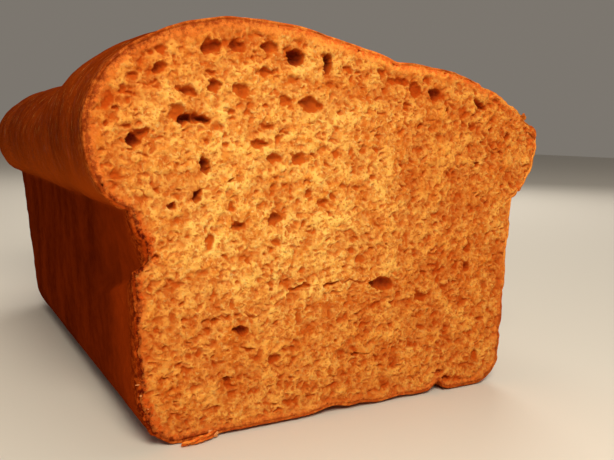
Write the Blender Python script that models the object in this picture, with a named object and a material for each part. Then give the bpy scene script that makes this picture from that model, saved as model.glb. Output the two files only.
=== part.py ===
"""A cut loaf of brown tin bread, as one solid.

Metres, +Z up. The loaf lies along Y with its cut face at -Y and its uncut heel at +Y,
and the origin is on the floor under the middle of the loaf.
Up to the tin's rim the sides are straight, and above it the crust swells over in a
lopsided crown: a tall lobe on the left and a low one on the right.
"""

import math
import random

import bmesh
import bpy
from mathutils import Matrix, Vector, noise

MM = 0.001

# The tin that shaped the lower part of the loaf
FLOOR_WIDTH = 123.3 * MM
RIM_WIDTH = 128.0 * MM
RIM_HEIGHT = 62.5 * MM
LEFT_FOOT = (11.0 * MM, 14.0 * MM)  # the corner between the left wall and the base: its width and height
RIGHT_FOOT = (9.0 * MM, 9.0 * MM)
RIM_CORNER = 11.0 * MM  # radius in plan of the upright corners at the heel, at the rim
FLOOR_CORNER = 34.0 * MM  # the same at the floor, where the dough didn't fill the tin
END_DRAFT = 0.15

# The crown above the rim, as it stands at the cut
LEFT_REACH = 74.4 * MM
LEFT_WIDEST_HEIGHT = 80.5 * MM
LEFT_PEAK_X = -31.0 * MM
LEFT_PEAK_HEIGHT = 111.3 * MM
LEFT_ROUNDNESS = 2.17
LEFT_TUCK = 1.8
RIGHT_REACH = 73.7 * MM
RIGHT_WIDEST_HEIGHT = 79.0 * MM
RIGHT_PEAK_X = 29.0 * MM
RIGHT_PEAK_HEIGHT = 102.5 * MM
RIGHT_ROUNDNESS = 1.63
RIGHT_TUCK = 1.5
LEFT_LOBE_FALL = 4.5  # how fast the left lobe drops to the right of its peak, per metre
RIGHT_LOBE_FALL = 4.0  # how fast the right lobe drops to the left of its peak, per metre
VALLEY_BLEND = 2.2 * MM
VALLEY_SOFTNESS = 2.2  # how far the blend reaches, in valley blends
STEEPEST_SHARE = 0.985  # the crown's ceiling is level from here out to the reach

# The length that is left of the loaf
LOAF_LENGTH = 205.0 * MM
HEEL_OVERHANG = 9.5 * MM
CROWN_CORNER = 27.0 * MM  # radius in plan of the crown's corners at the heel
SPINE_END = 57.0 * MM  # the heel's dome starts this far before the heel
FAR_SETTLE = 0.185  # how much lower the crown stands towards the heel
SETTLE_FROM = 29.0 * MM
SETTLE_TO = 94.0 * MM

# The fold in the left wall: how far behind the cut, and how high, in mm
FOLD_ROUTE = ((0.0, 49.5), (5.0, 45.5), (17.0, 41.7), (34.0, 37.4), (44.0, 40.5), (56.0, 43.5))
FOLD_DEPTH = 3.2 * MM
FOLD_LIP = 2.4 * MM
FOLD_DEEP_TO = 10.0 * MM  # the fold is at its deepest up to here behind the cut

# The notch in the bottom crust at the cut
NOTCH_X = 36.0 * MM
NOTCH_DEPTH = 3.2 * MM
NOTCH_WIDTH = 4.4 * MM
NOTCH_LENGTH = 16.0 * MM
NOTCH_TAPER = 0.15

# The crust's relief, as its height on the tin's walls and on the crown
BROAD_GRAIN = 34.0 * MM
BROAD_RELIEF = (0.35 * MM, 1.10 * MM)
FINE_GRAIN = 11.0 * MM
FINE_RELIEF = (0.30 * MM, 0.45 * MM)
FLAT_BELOW = 1.0 * MM
FULL_RELIEF_ABOVE = 12.0 * MM

# The crust that is torn and stands off in flakes, on the right shoulder by the cut
TORN_GRAIN = 4.6 * MM
TORN_RELIEF = 1.9 * MM
TORN_FROM = Vector((58.0 * MM, 0.0, 74.0 * MM))
TORN_FADE = 9.0 * MM
TORN_LENGTH = 8.0 * MM

# The cut face and its crumb
SPARE_BEFORE_CUT = 9.0 * MM
FACE_CELL = 3.2 * MM
KNIFE_WAVE = 0.5 * MM
KNIFE_GRAIN = 38.0 * MM
KNIFE_MARGIN = 12.0 * MM  # the knife's block is larger than the loaf by this much
CRUMB_ROUGHNESS = 1.0 * MM
CRUMB_GRAIN = 5.2 * MM
SKIN_THICKNESS = 3.0 * MM  # no hole opens in the crust
SMALL_HOLES = 48
SMALL_HOLE_WIDTH = (2.6 * MM, 4.4 * MM)
SMALL_HOLE_FLATNESS = (0.5, 0.9)
SMALL_HOLE_DEPTH = 0.8  # as a share of its width
SMALL_HOLE_TILT = 30.0
HOLE_SPACING = 1.2 * MM
HOLE_TRIES = 6000
HOLE_UNEVENNESS = 0.28
HOLE_LUMPS = 1.7
LARGE_HOLE_WIDTH = 5.2 * MM  # from here on a hole is laid out finely
CRUMB_SEED = 7

# The large holes of the crumb: across, up, width, height, depth in mm, and tilt in degrees
LARGE_HOLES = (
    (-62.1, 80.4, 3.9, 4.1, 4.5, 0),
    (-51.3, 86.1, 5.0, 2.8, 4.5, -38),
    (-45.4, 85.0, 5.4, 2.8, 4.0, 6),
    (-44.1, 73.6, 2.8, 4.8, 4.0, 12),
    (-46.1, 65.8, 2.6, 3.8, 3.4, -20),
    (-52.8, 63.2, 2.4, 2.4, 2.6, 0),
    (-23.8, 58.7, 5.4, 3.4, 3.4, 10),
    (-34.6, 57.3, 4.8, 2.4, 2.8, 0),
    (-42.8, 53.3, 2.4, 5.6, 2.6, -10),
    (-24.4, 75.6, 4.6, 3.7, 3.2, 0),
    (-16.7, 75.2, 4.8, 3.8, 3.2, 20),
    (-28.9, 79.1, 5.4, 2.6, 2.8, 0),
    (-21.2, 90.7, 4.6, 2.8, 3.0, 0),
    (-13.7, 90.1, 6.4, 4.2, 3.4, -15),
    (-18.2, 102.2, 5.2, 4.7, 5.5, 0),
    (-8.2, 101.4, 3.2, 5.8, 5.0, 10),
    (-42.6, 103.2, 6.0, 4.2, 3.6, 16),
    (-35.4, 104.0, 4.8, 3.4, 3.2, -20),
    (-26.6, 104.4, 5.4, 2.8, 3.0, 0),
    (-56.1, 97.4, 4.3, 2.7, 3.2, 30),
    (-48.9, 92.0, 6.0, 2.4, 3.0, -14),
    (-41.9, 93.9, 4.2, 3.8, 3.2, 0),
    (-34.3, 92.7, 5.3, 3.5, 3.0, -10),
    (-27.2, 98.0, 6.4, 2.4, 2.8, 6),
    (21.6, 95.6, 5.4, 4.3, 4.2, 0),
    (29.4, 94.6, 5.6, 3.4, 3.6, -14),
    (47.7, 92.2, 5.4, 2.6, 3.0, -24),
    (11.2, 37.4, 10.5, 5.4, 6.0, -10),
    (1.4, 39.8, 8.4, 1.9, 4.0, 3),
    (-8.6, 37.7, 10.4, 1.7, 3.4, 16),
    (27.0, 32.7, 5.8, 3.4, 3.6, -20),
    (-33.6, 29.0, 5.3, 2.5, 3.2, -18),
    (-23.9, 19.6, 4.6, 2.8, 3.0, 8),
    (45.7, 47.6, 2.6, 5.0, 3.0, -22),
    (45.6, 40.4, 2.5, 3.4, 2.8, 0),
    (36.6, 6.6, 3.6, 2.5, 2.8, 0),
)

# How finely the skin is laid out
SIDE_STATIONS = 15
STATION_CROWDING = 1.4  # above 1, the stations crowd towards the cut
HEEL_APPROACH = (0.35, 0.7)
FOOT_TURNS = (0, 30, 60, 90)  # in degrees, round the corner between the base and the walls
FOOT_CORNER_PULL = 0.8
CORNER_STATIONS = 6
HEEL_STATIONS = 9
WALL_HEIGHTS = (21.0, 31.0, 35.5, 39.0, 42.0, 45.0, 48.0, 51.5, 57.0)  # in mm, close about the fold
TUCK_ROWS = 5
CROWN_ROWS = 15


def clear_scene():
    for obj in list(bpy.data.objects):
        bpy.data.objects.remove(obj, do_unlink=True)


def collection_named(name):
    made = bpy.data.collections.new(name)
    bpy.context.scene.collection.children.link(made)
    return made


def mix(low, high, share):
    return low + (high - low) * share


def smooth_step(value, low, high):
    share = min(1.0, max(0.0, (value - low) / (high - low)))
    return share * share * (3 - 2 * share)


def lumps(point, grain, field):
    """Smooth noise, about -1 to 1, with lumps of a grain's size. Each field is another pattern."""
    return noise.noise(point / grain + Vector((5, 1, 3)) * field)


def superellipse(share, power):
    """The height, 0 to 1, of a superellipse's quarter at a share of its half width."""
    return max(0.0, 1.0 - min(1.0, abs(share)) ** power) ** (1.0 / power)


def left_lobe(x):
    if x < LEFT_PEAK_X:
        share = (LEFT_PEAK_X - x) / (LEFT_REACH + LEFT_PEAK_X)
        rise = LEFT_PEAK_HEIGHT - LEFT_WIDEST_HEIGHT
        return LEFT_WIDEST_HEIGHT + rise * superellipse(share, LEFT_ROUNDNESS)
    return LEFT_PEAK_HEIGHT - LEFT_LOBE_FALL * (x - LEFT_PEAK_X) ** 2


def right_lobe(x):
    if x > RIGHT_PEAK_X:
        share = (x - RIGHT_PEAK_X) / (RIGHT_REACH - RIGHT_PEAK_X)
        rise = RIGHT_PEAK_HEIGHT - RIGHT_WIDEST_HEIGHT
        return RIGHT_WIDEST_HEIGHT + rise * superellipse(share, RIGHT_ROUNDNESS)
    return RIGHT_PEAK_HEIGHT - RIGHT_LOBE_FALL * (RIGHT_PEAK_X - x) ** 2


def crown_height(x):
    """The higher lobe at x, with the valley between the two blended."""
    left, right = left_lobe(x), right_lobe(x)
    apart = (left - right) / (VALLEY_SOFTNESS * VALLEY_BLEND)
    return max(left, right) + VALLEY_BLEND / 2 * math.exp(-apart * apart)


def crown_ceiling(x):
    """The height that, rounded off towards the crown's edge, gives crown_height at the cut."""
    reach, widest, power = side_of(x)
    share = min(STEEPEST_SHARE, abs(x) / reach)
    return widest + (crown_height(math.copysign(share * reach, x)) - widest) / superellipse(share, power)


def side_of(x):
    if x < 0:
        return LEFT_REACH, LEFT_WIDEST_HEIGHT, LEFT_ROUNDNESS
    return RIGHT_REACH, RIGHT_WIDEST_HEIGHT, RIGHT_ROUNDNESS


def crown_settle(behind_cut):
    """How tall the crown stands behind the cut, as a share of its height at the cut."""
    return 1.0 - FAR_SETTLE * smooth_step(behind_cut, SETTLE_FROM, SETTLE_TO)


def plan_path(left, right, heel, corner):
    """Places in plan along one level of the skin: up the left side, round the heel, down the right side.

    left, right and heel are how far out the level stands, and corner is its radius in plan.
    """
    spine_end = LOAF_LENGTH - SPINE_END
    shares = [(station / SIDE_STATIONS) ** STATION_CROWDING for station in range(SIDE_STATIONS)]
    sides = [mix(-SPARE_BEFORE_CUT, spine_end, share) for share in shares]
    quarter = [math.pi / 2 * step / CORNER_STATIONS for step in range(CORNER_STATIONS + 1)]
    path = [(-left, y) for y in sides]
    path += [(-left, spine_end)]
    path += [(-left, mix(spine_end, heel - corner, share)) for share in HEEL_APPROACH]
    path += [(corner - left - corner * math.cos(t), heel - corner + corner * math.sin(t)) for t in quarter]
    for station in range(1, HEEL_STATIONS):
        path.append((mix(corner - left, right - corner, station / HEEL_STATIONS), heel))
    path += [(right - corner + corner * math.sin(t), heel - corner + corner * math.cos(t)) for t in quarter]
    path += [(right, mix(spine_end, heel - corner, share)) for share in reversed(HEEL_APPROACH)]
    path += [(right, spine_end)]
    path += [(right, y) for y in reversed(sides)]
    return path


def tin_side(height):
    """How far out a side wall stands at a height."""
    return mix(FLOOR_WIDTH, RIM_WIDTH, height / RIM_HEIGHT) / 2


def tin_corner(height):
    return mix(FLOOR_CORNER, RIM_CORNER, height / RIM_HEIGHT)


def tin_heel(height):
    """How far behind the cut the heel's straight wall stands at a height."""
    return LOAF_LENGTH - HEEL_OVERHANG - END_DRAFT * (RIM_HEIGHT - height)


def foot_profile(turn, foot):
    """How far in and how high the crust stands at a turn from the base to the wall."""
    width, height = foot
    return width * (1 - math.sin(turn)), height * (1 - math.cos(turn))


def tuck(turn, power):
    """Out and up shares, 0 to 1, of the crust's way from the crease under the overhang to its widest."""
    return math.sin(turn) ** (2 / power), 1.0 - math.cos(turn) ** (2 / power)


def lower_levels():
    """The levels below the widest, each as its height on the left and right and its path in plan."""
    levels = []
    for turn in map(math.radians, FOOT_TURNS):
        left_in, left_height = foot_profile(turn, LEFT_FOOT)
        right_in, right_height = foot_profile(turn, RIGHT_FOOT)
        heel_in, heel_height = (left_in + right_in) / 2, (left_height + right_height) / 2
        path = plan_path(
            tin_side(left_height) - left_in,
            tin_side(right_height) - right_in,
            tin_heel(heel_height) - heel_in,
            tin_corner(heel_height) - FOOT_CORNER_PULL * heel_in,
        )
        levels.append((left_height, right_height, path))
    for height in (level * MM for level in WALL_HEIGHTS):
        path = plan_path(tin_side(height), tin_side(height), tin_heel(height), tin_corner(height))
        levels.append((height, height, path))
    for row in range(TUCK_ROWS + 1):
        turn = math.pi / 2 * row / TUCK_ROWS
        left_out, left_up = tuck(turn, LEFT_TUCK)
        right_out, right_up = tuck(turn, RIGHT_TUCK)
        path = plan_path(
            mix(RIM_WIDTH / 2, LEFT_REACH, left_out),
            mix(RIM_WIDTH / 2, RIGHT_REACH, right_out),
            tin_heel(RIM_HEIGHT) + HEEL_OVERHANG * left_out,
            mix(RIM_CORNER, CROWN_CORNER, left_out),
        )
        left_height = mix(RIM_HEIGHT, LEFT_WIDEST_HEIGHT, left_up)
        right_height = mix(RIM_HEIGHT, RIGHT_WIDEST_HEIGHT, right_up)
        levels.append((left_height, right_height, path))
    return levels


def rightness(index, count):
    """0 along the left side, 1 along the right side, and from one to the other round the heel."""
    return smooth_step(index, SIDE_STATIONS, count - 1 - SIDE_STATIONS)


def skin_rows():
    """Rows of points from the base's edge up to the crown's spine.

    Each row runs from the cut along the left side, round the heel and back along the right side.
    """
    rows = []
    for left_height, right_height, path in lower_levels():
        made = []
        for i, (x, y) in enumerate(path):
            made.append(Vector((x, y, mix(left_height, right_height, rightness(i, len(path))))))
        rows.append(made)
    widest = rows[-1]
    spine_end = LOAF_LENGTH - SPINE_END
    for row in range(1, CROWN_ROWS + 1):
        share = math.cos(math.pi / 2 * row / CROWN_ROWS)
        made = []
        for i, edge in enumerate(widest):
            power = mix(LEFT_ROUNDNESS, RIGHT_ROUNDNESS, rightness(i, len(widest)))
            x = edge.x * share
            y = mix(min(edge.y, spine_end), edge.y, share)
            rise = (crown_ceiling(x) - edge.z) * superellipse(share, power)
            made.append(Vector((x, y, edge.z + rise)))
        rows.append(made)
    for made in rows:
        for point in made:
            if point.z > RIM_HEIGHT:
                point.z = RIM_HEIGHT + (point.z - RIM_HEIGHT) * crown_settle(point.y)
    return rows


def fold_dip(point):
    """How far the left wall is pushed in at the fold: a long slope above it and a short lip below."""
    if point.x > 0 or point.y > FOLD_ROUTE[-1][0] * MM or point.z > RIM_HEIGHT:
        return 0.0
    route_height = FOLD_ROUTE[0][1] * MM
    for (y0, z0), (y1, z1) in zip(FOLD_ROUTE, FOLD_ROUTE[1:]):
        if y0 * MM <= point.y <= y1 * MM:
            route_height = mix(z0, z1, (point.y / MM - y0) / (y1 - y0)) * MM
    if point.z > route_height:
        share = 1.0 - smooth_step(point.z, route_height, RIM_HEIGHT)
    else:
        share = smooth_step(point.z, route_height - FOLD_LIP, route_height)
    return FOLD_DEPTH * share * (1.0 - smooth_step(point.y, FOLD_DEEP_TO, FOLD_ROUTE[-1][0] * MM))


def crust_relief(point):
    """How far the crust stands proud of its smooth form: broad on the crown, faint on the tin's walls."""
    on_crown = smooth_step(point.z, RIM_HEIGHT, LEFT_WIDEST_HEIGHT)
    broad = lumps(point, BROAD_GRAIN, 0) * mix(*BROAD_RELIEF, on_crown)
    fine = lumps(point, FINE_GRAIN, 1) * mix(*FINE_RELIEF, on_crown)
    return (broad + fine) * smooth_step(point.z, FLAT_BELOW, FULL_RELIEF_ABOVE) + torn_relief(point)


def torn_relief(point):
    """How far the torn crust on the right shoulder stands off, or is broken away."""
    shoulder = smooth_step(point.x, TORN_FROM.x - TORN_FADE, TORN_FROM.x)
    shoulder *= smooth_step(point.z, TORN_FROM.z - TORN_FADE, TORN_FROM.z)
    near_cut = 1.0 - smooth_step(point.y, 0.0, TORN_LENGTH)
    return TORN_RELIEF * lumps(point, TORN_GRAIN, 2) * shoulder * near_cut


def skin_of(rows):
    """One closed skin from the rows: they join at the spine, and a face closes the base and the front."""
    skin = bmesh.new()
    made = [[skin.verts.new(point) for point in row] for row in rows]
    for row, following in zip(made, made[1:]):
        for i in range(len(row) - 1):
            skin.faces.new((row[i], row[i + 1], following[i + 1], following[i]))
    bmesh.ops.remove_doubles(skin, verts=made[-1], dist=0.01 * MM)
    skin.faces.new(made[0])
    bmesh.ops.holes_fill(skin, edges=[edge for edge in skin.edges if edge.is_boundary], sides=0)
    bmesh.ops.recalc_face_normals(skin, faces=skin.faces)
    return skin


def make_loaf(collection):
    """The whole loaf, longer than what is left of it, for the knife to cut."""
    skin = skin_of(skin_rows())
    skin.normal_update()
    moved = []
    for vert in skin.verts:
        point = vert.co + vert.normal * crust_relief(vert.co) + Vector((fold_dip(vert.co), 0, 0))
        moved.append(point)
    for vert, point in zip(skin.verts, moved):
        vert.co = point
    bmesh.ops.translate(skin, verts=skin.verts, vec=(0, -LOAF_LENGTH / 2, 0))
    bmesh.ops.triangulate(skin, faces=skin.faces)
    data = bpy.data.meshes.new("loaf")
    skin.to_mesh(data)
    skin.free()
    loaf = bpy.data.objects.new("loaf", data)
    collection.objects.link(loaf)
    data.shade_smooth()
    return loaf


def knife_face(x, z):
    """Where the cut face stands along Y at a place: the knife's waves and the torn crumb."""
    place = Vector((x, 0, z))
    wave = lumps(place, KNIFE_GRAIN, 3) * KNIFE_WAVE
    crumb = lumps(place, CRUMB_GRAIN, 4) * CRUMB_ROUGHNESS
    return -LOAF_LENGTH / 2 + wave + crumb


def make_knife(collection):
    """A block whose back face is the cut: what it takes from the loaf is the slice already eaten."""
    width = LEFT_REACH + RIGHT_REACH + 2 * KNIFE_MARGIN
    height = LEFT_PEAK_HEIGHT + 2 * KNIFE_MARGIN
    block = bmesh.new()
    bmesh.ops.create_grid(
        block,
        x_segments=round(width / FACE_CELL),
        y_segments=round(height / FACE_CELL),
        size=0.5,
        matrix=Matrix.Diagonal((width, height, 1, 1)),
    )
    upright = Matrix.Rotation(math.radians(90), 4, "X")
    centre = Matrix.Translation((0, 0, LEFT_PEAK_HEIGHT / 2))
    bmesh.ops.transform(block, matrix=centre @ upright, verts=block.verts)
    rim = [edge for edge in block.edges if edge.is_boundary]
    drawn = bmesh.ops.extrude_edge_only(block, edges=rim)["geom"]
    front = {item for item in drawn if isinstance(item, bmesh.types.BMVert)}
    bmesh.ops.contextual_create(block, geom=[edge for edge in block.edges if edge.is_boundary])
    for vert in block.verts:
        if vert in front:
            vert.co.y = -LOAF_LENGTH / 2 - 3 * SPARE_BEFORE_CUT
        else:
            vert.co.y = knife_face(vert.co.x, vert.co.z)
    bmesh.ops.recalc_face_normals(block, faces=block.faces)
    bmesh.ops.triangulate(block, faces=block.faces)
    data = bpy.data.meshes.new("knife")
    block.to_mesh(data)
    block.free()
    return as_cutter("knife", data, collection)


def as_cutter(name, data, collection):
    cutter = bpy.data.objects.new(name, data)
    collection.objects.link(cutter)
    cutter.hide_render = True
    cutter.display_type = "WIRE"
    return cutter


def inside_outline(x, z, margin):
    """True where a place on the cut face lies at least margin inside the crust."""
    reach, widest, _ = side_of(x)
    if z < margin or abs(x) > reach - margin:
        return False
    if z > RIM_HEIGHT + 4 * MM:
        spare = min(1.0, (z - RIM_HEIGHT) / (widest - RIM_HEIGHT))
        return abs(x) < mix(RIM_WIDTH / 2, reach, spare) - margin and z < crown_height(x) - 1.2 * margin
    foot_width = LEFT_FOOT[0] / 2 if z < LEFT_FOOT[1] else 0.0
    return abs(x) < FLOOR_WIDTH / 2 - foot_width - margin


def small_holes():
    """Further holes between the large ones, spread by chance from a fixed seed, none touching another."""
    chance = random.Random(CRUMB_SEED)
    taken = [(row[0] * MM, row[1] * MM, max(row[2], row[3]) / 2 * MM) for row in LARGE_HOLES]
    holes = []
    for _ in range(HOLE_TRIES):
        if len(holes) == SMALL_HOLES:
            break
        x = chance.uniform(-LEFT_REACH, RIGHT_REACH)
        z = chance.uniform(0, LEFT_PEAK_HEIGHT)
        width = chance.uniform(*SMALL_HOLE_WIDTH)
        height = width * chance.uniform(*SMALL_HOLE_FLATNESS)
        if not inside_outline(x, z, SKIN_THICKNESS + width / 2):
            continue
        if any(math.hypot(x - a, z - b) < radius + width / 2 + HOLE_SPACING for a, b, radius in taken):
            continue
        taken.append((x, z, width / 2))
        tilt = chance.uniform(-SMALL_HOLE_TILT, SMALL_HOLE_TILT)
        holes.append((x, z, width, height, width * SMALL_HOLE_DEPTH, tilt))
    return holes


def make_holes(collection):
    """All the holes that open in the cut face, as one cutter of flattened, uneven balls."""
    balls = bmesh.new()
    large_holes = [(*(size * MM for size in row[:5]), row[5]) for row in LARGE_HOLES]
    for x, z, width, height, depth, tilt in large_holes + small_holes():
        place = (
            Matrix.Translation((x, knife_face(x, z), z))
            @ Matrix.Rotation(math.radians(-tilt), 4, "Y")
            @ Matrix.Diagonal((width / 2, depth, height / 2, 1))
        )
        fineness = 2 if max(width, height) > LARGE_HOLE_WIDTH else 1
        ball = bmesh.ops.create_icosphere(balls, subdivisions=fineness, radius=1.0)["verts"]
        for vert in ball:
            vert.co *= 1.0 + HOLE_UNEVENNESS * noise.noise(vert.co * HOLE_LUMPS + Vector((x, 0, z)) / MM)
        bmesh.ops.transform(balls, matrix=place, verts=ball)
    data = bpy.data.meshes.new("crumb_holes")
    balls.to_mesh(data)
    balls.free()
    return as_cutter("crumb_holes", data, collection)


def make_notch(collection):
    """The pinch in the bottom crust: a wedge that runs back from the cut and dies out."""
    wedge = bmesh.new()
    bmesh.ops.create_cone(wedge, cap_ends=True, segments=8, radius1=1.0, radius2=NOTCH_TAPER, depth=1.0)
    place = (
        Matrix.Translation((NOTCH_X, -LOAF_LENGTH / 2 + NOTCH_LENGTH / 2 - SPARE_BEFORE_CUT, 0))
        @ Matrix.Rotation(math.radians(-90), 4, "X")
        @ Matrix.Diagonal((NOTCH_WIDTH / 2, NOTCH_DEPTH, NOTCH_LENGTH + SPARE_BEFORE_CUT, 1))
    )
    bmesh.ops.transform(wedge, matrix=place, verts=wedge.verts)
    data = bpy.data.meshes.new("notch")
    wedge.to_mesh(data)
    wedge.free()
    return as_cutter("notch", data, collection)


def cut(solid, cutter):
    boolean = solid.modifiers.new("cut_by_" + cutter.name, "BOOLEAN")
    boolean.operation = "DIFFERENCE"
    boolean.solver = "EXACT"
    boolean.object = cutter


def bread_material():
    material = bpy.data.materials.new("brown_bread")
    material.use_nodes = True
    shader = material.node_tree.nodes["Principled BSDF"]
    shader.inputs["Base Color"].default_value = (0.50, 0.22, 0.065, 1.0)
    shader.inputs["Roughness"].default_value = 0.75
    shader.inputs["Metallic"].default_value = 0.0
    return material


def main():
    clear_scene()
    parts = collection_named("brown_bread")
    cutters = collection_named("cutters")
    loaf = make_loaf(parts)
    loaf.data.materials.append(bread_material())
    cut(loaf, make_notch(cutters))
    cut(loaf, make_knife(cutters))
    cut(loaf, make_holes(cutters))


main()
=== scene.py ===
"""The looks of a cut loaf of brown tin bread.

Two pieces stand for the solid loaf: the crust is its skin, with a shallow recess behind the cut,
and the crumb is the slab of foam that fills the recess. A flap of bottom crust, flakes of torn
crust and loose crumbs are added to them.
Lengths are metres, or millimetres where a comment says so. Along Y they count from the cut back
towards the heel, until a finished mesh moves into the frame of the solid.
"""

import logging
import math
from dataclasses import dataclass
from enum import Enum

import bpy
import numpy as np
from mathutils import Euler, Matrix, Vector, kdtree, noise


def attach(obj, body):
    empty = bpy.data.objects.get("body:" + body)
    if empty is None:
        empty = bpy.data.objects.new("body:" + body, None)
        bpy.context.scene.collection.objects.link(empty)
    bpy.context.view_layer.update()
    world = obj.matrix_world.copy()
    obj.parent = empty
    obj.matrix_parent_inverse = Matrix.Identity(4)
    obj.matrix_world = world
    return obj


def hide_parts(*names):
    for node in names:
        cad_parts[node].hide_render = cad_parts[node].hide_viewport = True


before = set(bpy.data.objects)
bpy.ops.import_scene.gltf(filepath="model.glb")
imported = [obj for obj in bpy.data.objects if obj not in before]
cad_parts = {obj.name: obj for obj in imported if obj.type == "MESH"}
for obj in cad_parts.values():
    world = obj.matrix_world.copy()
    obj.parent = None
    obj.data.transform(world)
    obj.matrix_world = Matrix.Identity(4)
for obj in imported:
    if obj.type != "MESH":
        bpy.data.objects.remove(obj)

MM = 0.001
FIELD_SHIFT = np.array((5.0, 1.0, 3.0))
FINER_TIMES = 4
QUARTER_TURN = math.pi / 2
Pair = tuple[float, float]
Triple = tuple[float, float, float]
Array = np.ndarray
Value = float | np.ndarray
Layers = tuple[tuple[float, float, int], ...]
Piece = bpy.types.Object
Socket = bpy.types.NodeSocket
Feed = Socket | Triple | float
log = logging.getLogger("brown_bread")


class Side(Enum):
    """The two sides of the loaf, seen from in front of the cut."""

    LEFT = -1
    RIGHT = 1


def mix(low: Value, high: Value, share: Value) -> Value:
    """The value a share of the way from low to high."""
    return low + (high - low) * share


def smooth_step(value: Value, low: float, high: float) -> Value:
    """A smooth ramp from 0 at low to 1 at high."""
    share = np.clip((value - low) / (high - low), 0.0, 1.0)
    return share * share * (3 - 2 * share)


def fade(value: Value, low: float, high: float) -> Value:
    """A smooth ramp from 1 at low to 0 at high."""
    return 1.0 - smooth_step(value, low, high)


def superellipse(share: Value, power: Value) -> Value:
    """The height, 0 to 1, of a superellipse's quarter at a share of its half width."""
    return np.maximum(0.0, 1.0 - np.minimum(1.0, np.abs(share)) ** power) ** (1.0 / power)


def lumps(points: Array, grain: float | Triple, field: int) -> Array:
    """Smooth noise, about -1 to 1.

    Args:
        points: rows of X, Y and Z.
        grain: the size of one lump, the same all ways or one for each axis.
        field: each number gives another pattern.

    Returns:
        One value for each point.
    """
    spots = points / np.array(grain) + FIELD_SHIFT * field
    return np.fromiter((noise.noise(spot) for spot in spots.tolist()), float, len(spots))


def layered(points: Array, layers: Layers, base: float = 0.0, unit: float = MM) -> Array:
    """Smooth noise of several grains, put together.

    Args:
        points: rows of X, Y and Z.
        layers: the grain, the strength and the field of each.
        base: the value that they are added to.
        unit: the unit of the grains.

    Returns:
        One value for each point.
    """
    return sum((lumps(points, grain * unit, field) * strength for grain, strength, field in layers), base)


def on_face(across: Array, up: Array) -> Array:
    """Places across and up the cut face, as rows of X, Y and Z."""
    return np.column_stack((across, np.zeros_like(across), up))


def finer(edge: Array) -> Array:
    """The points of a closed line, with more points between them."""
    following = np.roll(edge, -1, axis=0)
    return np.concatenate([mix(edge, following, i / FINER_TIMES) for i in range(FINER_TIMES)])


@dataclass(frozen=True)
class Lobe:
    """One of the crown's two lobes at the cut. reach and peak_out count from the loaf's middle."""

    side: Side
    reach: float
    widest_height: float
    peak_out: float
    peak_height: float
    roundness: float
    tuck: float
    fall: float

    def height(self, across: Array) -> Array:
        """The lobe's top.

        Args:
            across: places across the loaf.

        Returns:
            The height at each.
        """
        out = across * self.side.value
        outer = np.clip((out - self.peak_out) / (self.reach - self.peak_out), 0, 1)
        rise = self.peak_height - self.widest_height
        rounded = self.widest_height + rise * superellipse(outer, self.roundness)
        inner = self.peak_height - self.fall * (out - self.peak_out) ** 2
        return np.where(out > self.peak_out, rounded, inner)

    def underside(self, turn: float) -> Pair:
        """How far out and up, 0 to 1, the crust has come at a turn from the crease to its widest."""
        return math.sin(turn) ** (2 / self.tuck), 1.0 - math.cos(turn) ** (2 / self.tuck)


@dataclass(frozen=True)
class Foot:
    """The rounded corner between a wall and the base."""

    width: float
    height: float

    def profile(self, turn: float) -> Pair:
        """How far in and how high the crust stands at a turn from the base to the wall."""
        return self.width * (1.0 - math.sin(turn)), self.height * (1.0 - math.cos(turn))


@dataclass(frozen=True)
class LoafForm:
    """The loaf's form: the tin's walls below its rim, and above it the swollen crown."""

    floor_width: float = 123.3 * MM
    rim_width: float = 128 * MM
    rim_height: float = 62.5 * MM
    left_foot: Foot = Foot(11 * MM, 14 * MM)
    right_foot: Foot = Foot(9 * MM, 9 * MM)
    rim_corner: float = 11 * MM
    floor_corner: float = 34 * MM
    end_draft: float = 0.15
    length: float = 205 * MM
    heel_overhang: float = 9.5 * MM
    crown_corner: float = 27 * MM
    spine_end: float = 148 * MM
    valley_blend: float = 2.2 * MM
    valley_softness: float = 2.2
    steepest_share: float = 0.985
    far_settle: float = 0.185
    settle: Pair = (29 * MM, 94 * MM)
    left: Lobe = Lobe(Side.LEFT, 74.4 * MM, 80.5 * MM, 31 * MM, 111.3 * MM, 2.17, 1.8, 4.5)
    right: Lobe = Lobe(Side.RIGHT, 73.7 * MM, 79 * MM, 29 * MM, 102.5 * MM, 1.63, 1.5, 4.0)

    def crown_height(self, across: Array) -> Array:
        """The higher lobe, with the valley between the two blended.

        Args:
            across: places across the loaf.

        Returns:
            The height at each.
        """
        left, right = self.left.height(across), self.right.height(across)
        apart = (left - right) / (self.valley_softness * self.valley_blend)
        return np.maximum(left, right) + self.valley_blend / 2 * np.exp(-apart * apart)

    def crown_ceiling(self, across: Array) -> Array:
        """The height that, rounded off towards the crown's edge, gives the crown's height at the cut.

        Args:
            across: places across the loaf.

        Returns:
            The height at each.
        """
        on_left = across < 0
        reach = np.where(on_left, self.left.reach, self.right.reach)
        widest = np.where(on_left, self.left.widest_height, self.right.widest_height)
        power = np.where(on_left, self.left.roundness, self.right.roundness)
        share = np.minimum(self.steepest_share, np.abs(across) / reach)
        crown = self.crown_height(np.copysign(share * reach, across))
        return widest + (crown - widest) / superellipse(share, power)

    def crown_settle(self, behind: Array) -> Array:
        """How tall the crown stands behind the cut, as a share of its height at the cut."""
        return 1.0 - self.far_settle * smooth_step(behind, *self.settle)

    def tin_side(self, height: float) -> float:
        """How far out a side wall stands at a height."""
        return mix(self.floor_width, self.rim_width, height / self.rim_height) / 2

    def tin_corner(self, height: float) -> float:
        """The radius in plan of the upright corners at the heel at a height."""
        return mix(self.floor_corner, self.rim_corner, height / self.rim_height)

    def tin_heel(self, height: float) -> float:
        """How far behind the cut the heel's wall stands at a height."""
        return self.length - self.heel_overhang - self.end_draft * (self.rim_height - height)


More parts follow.
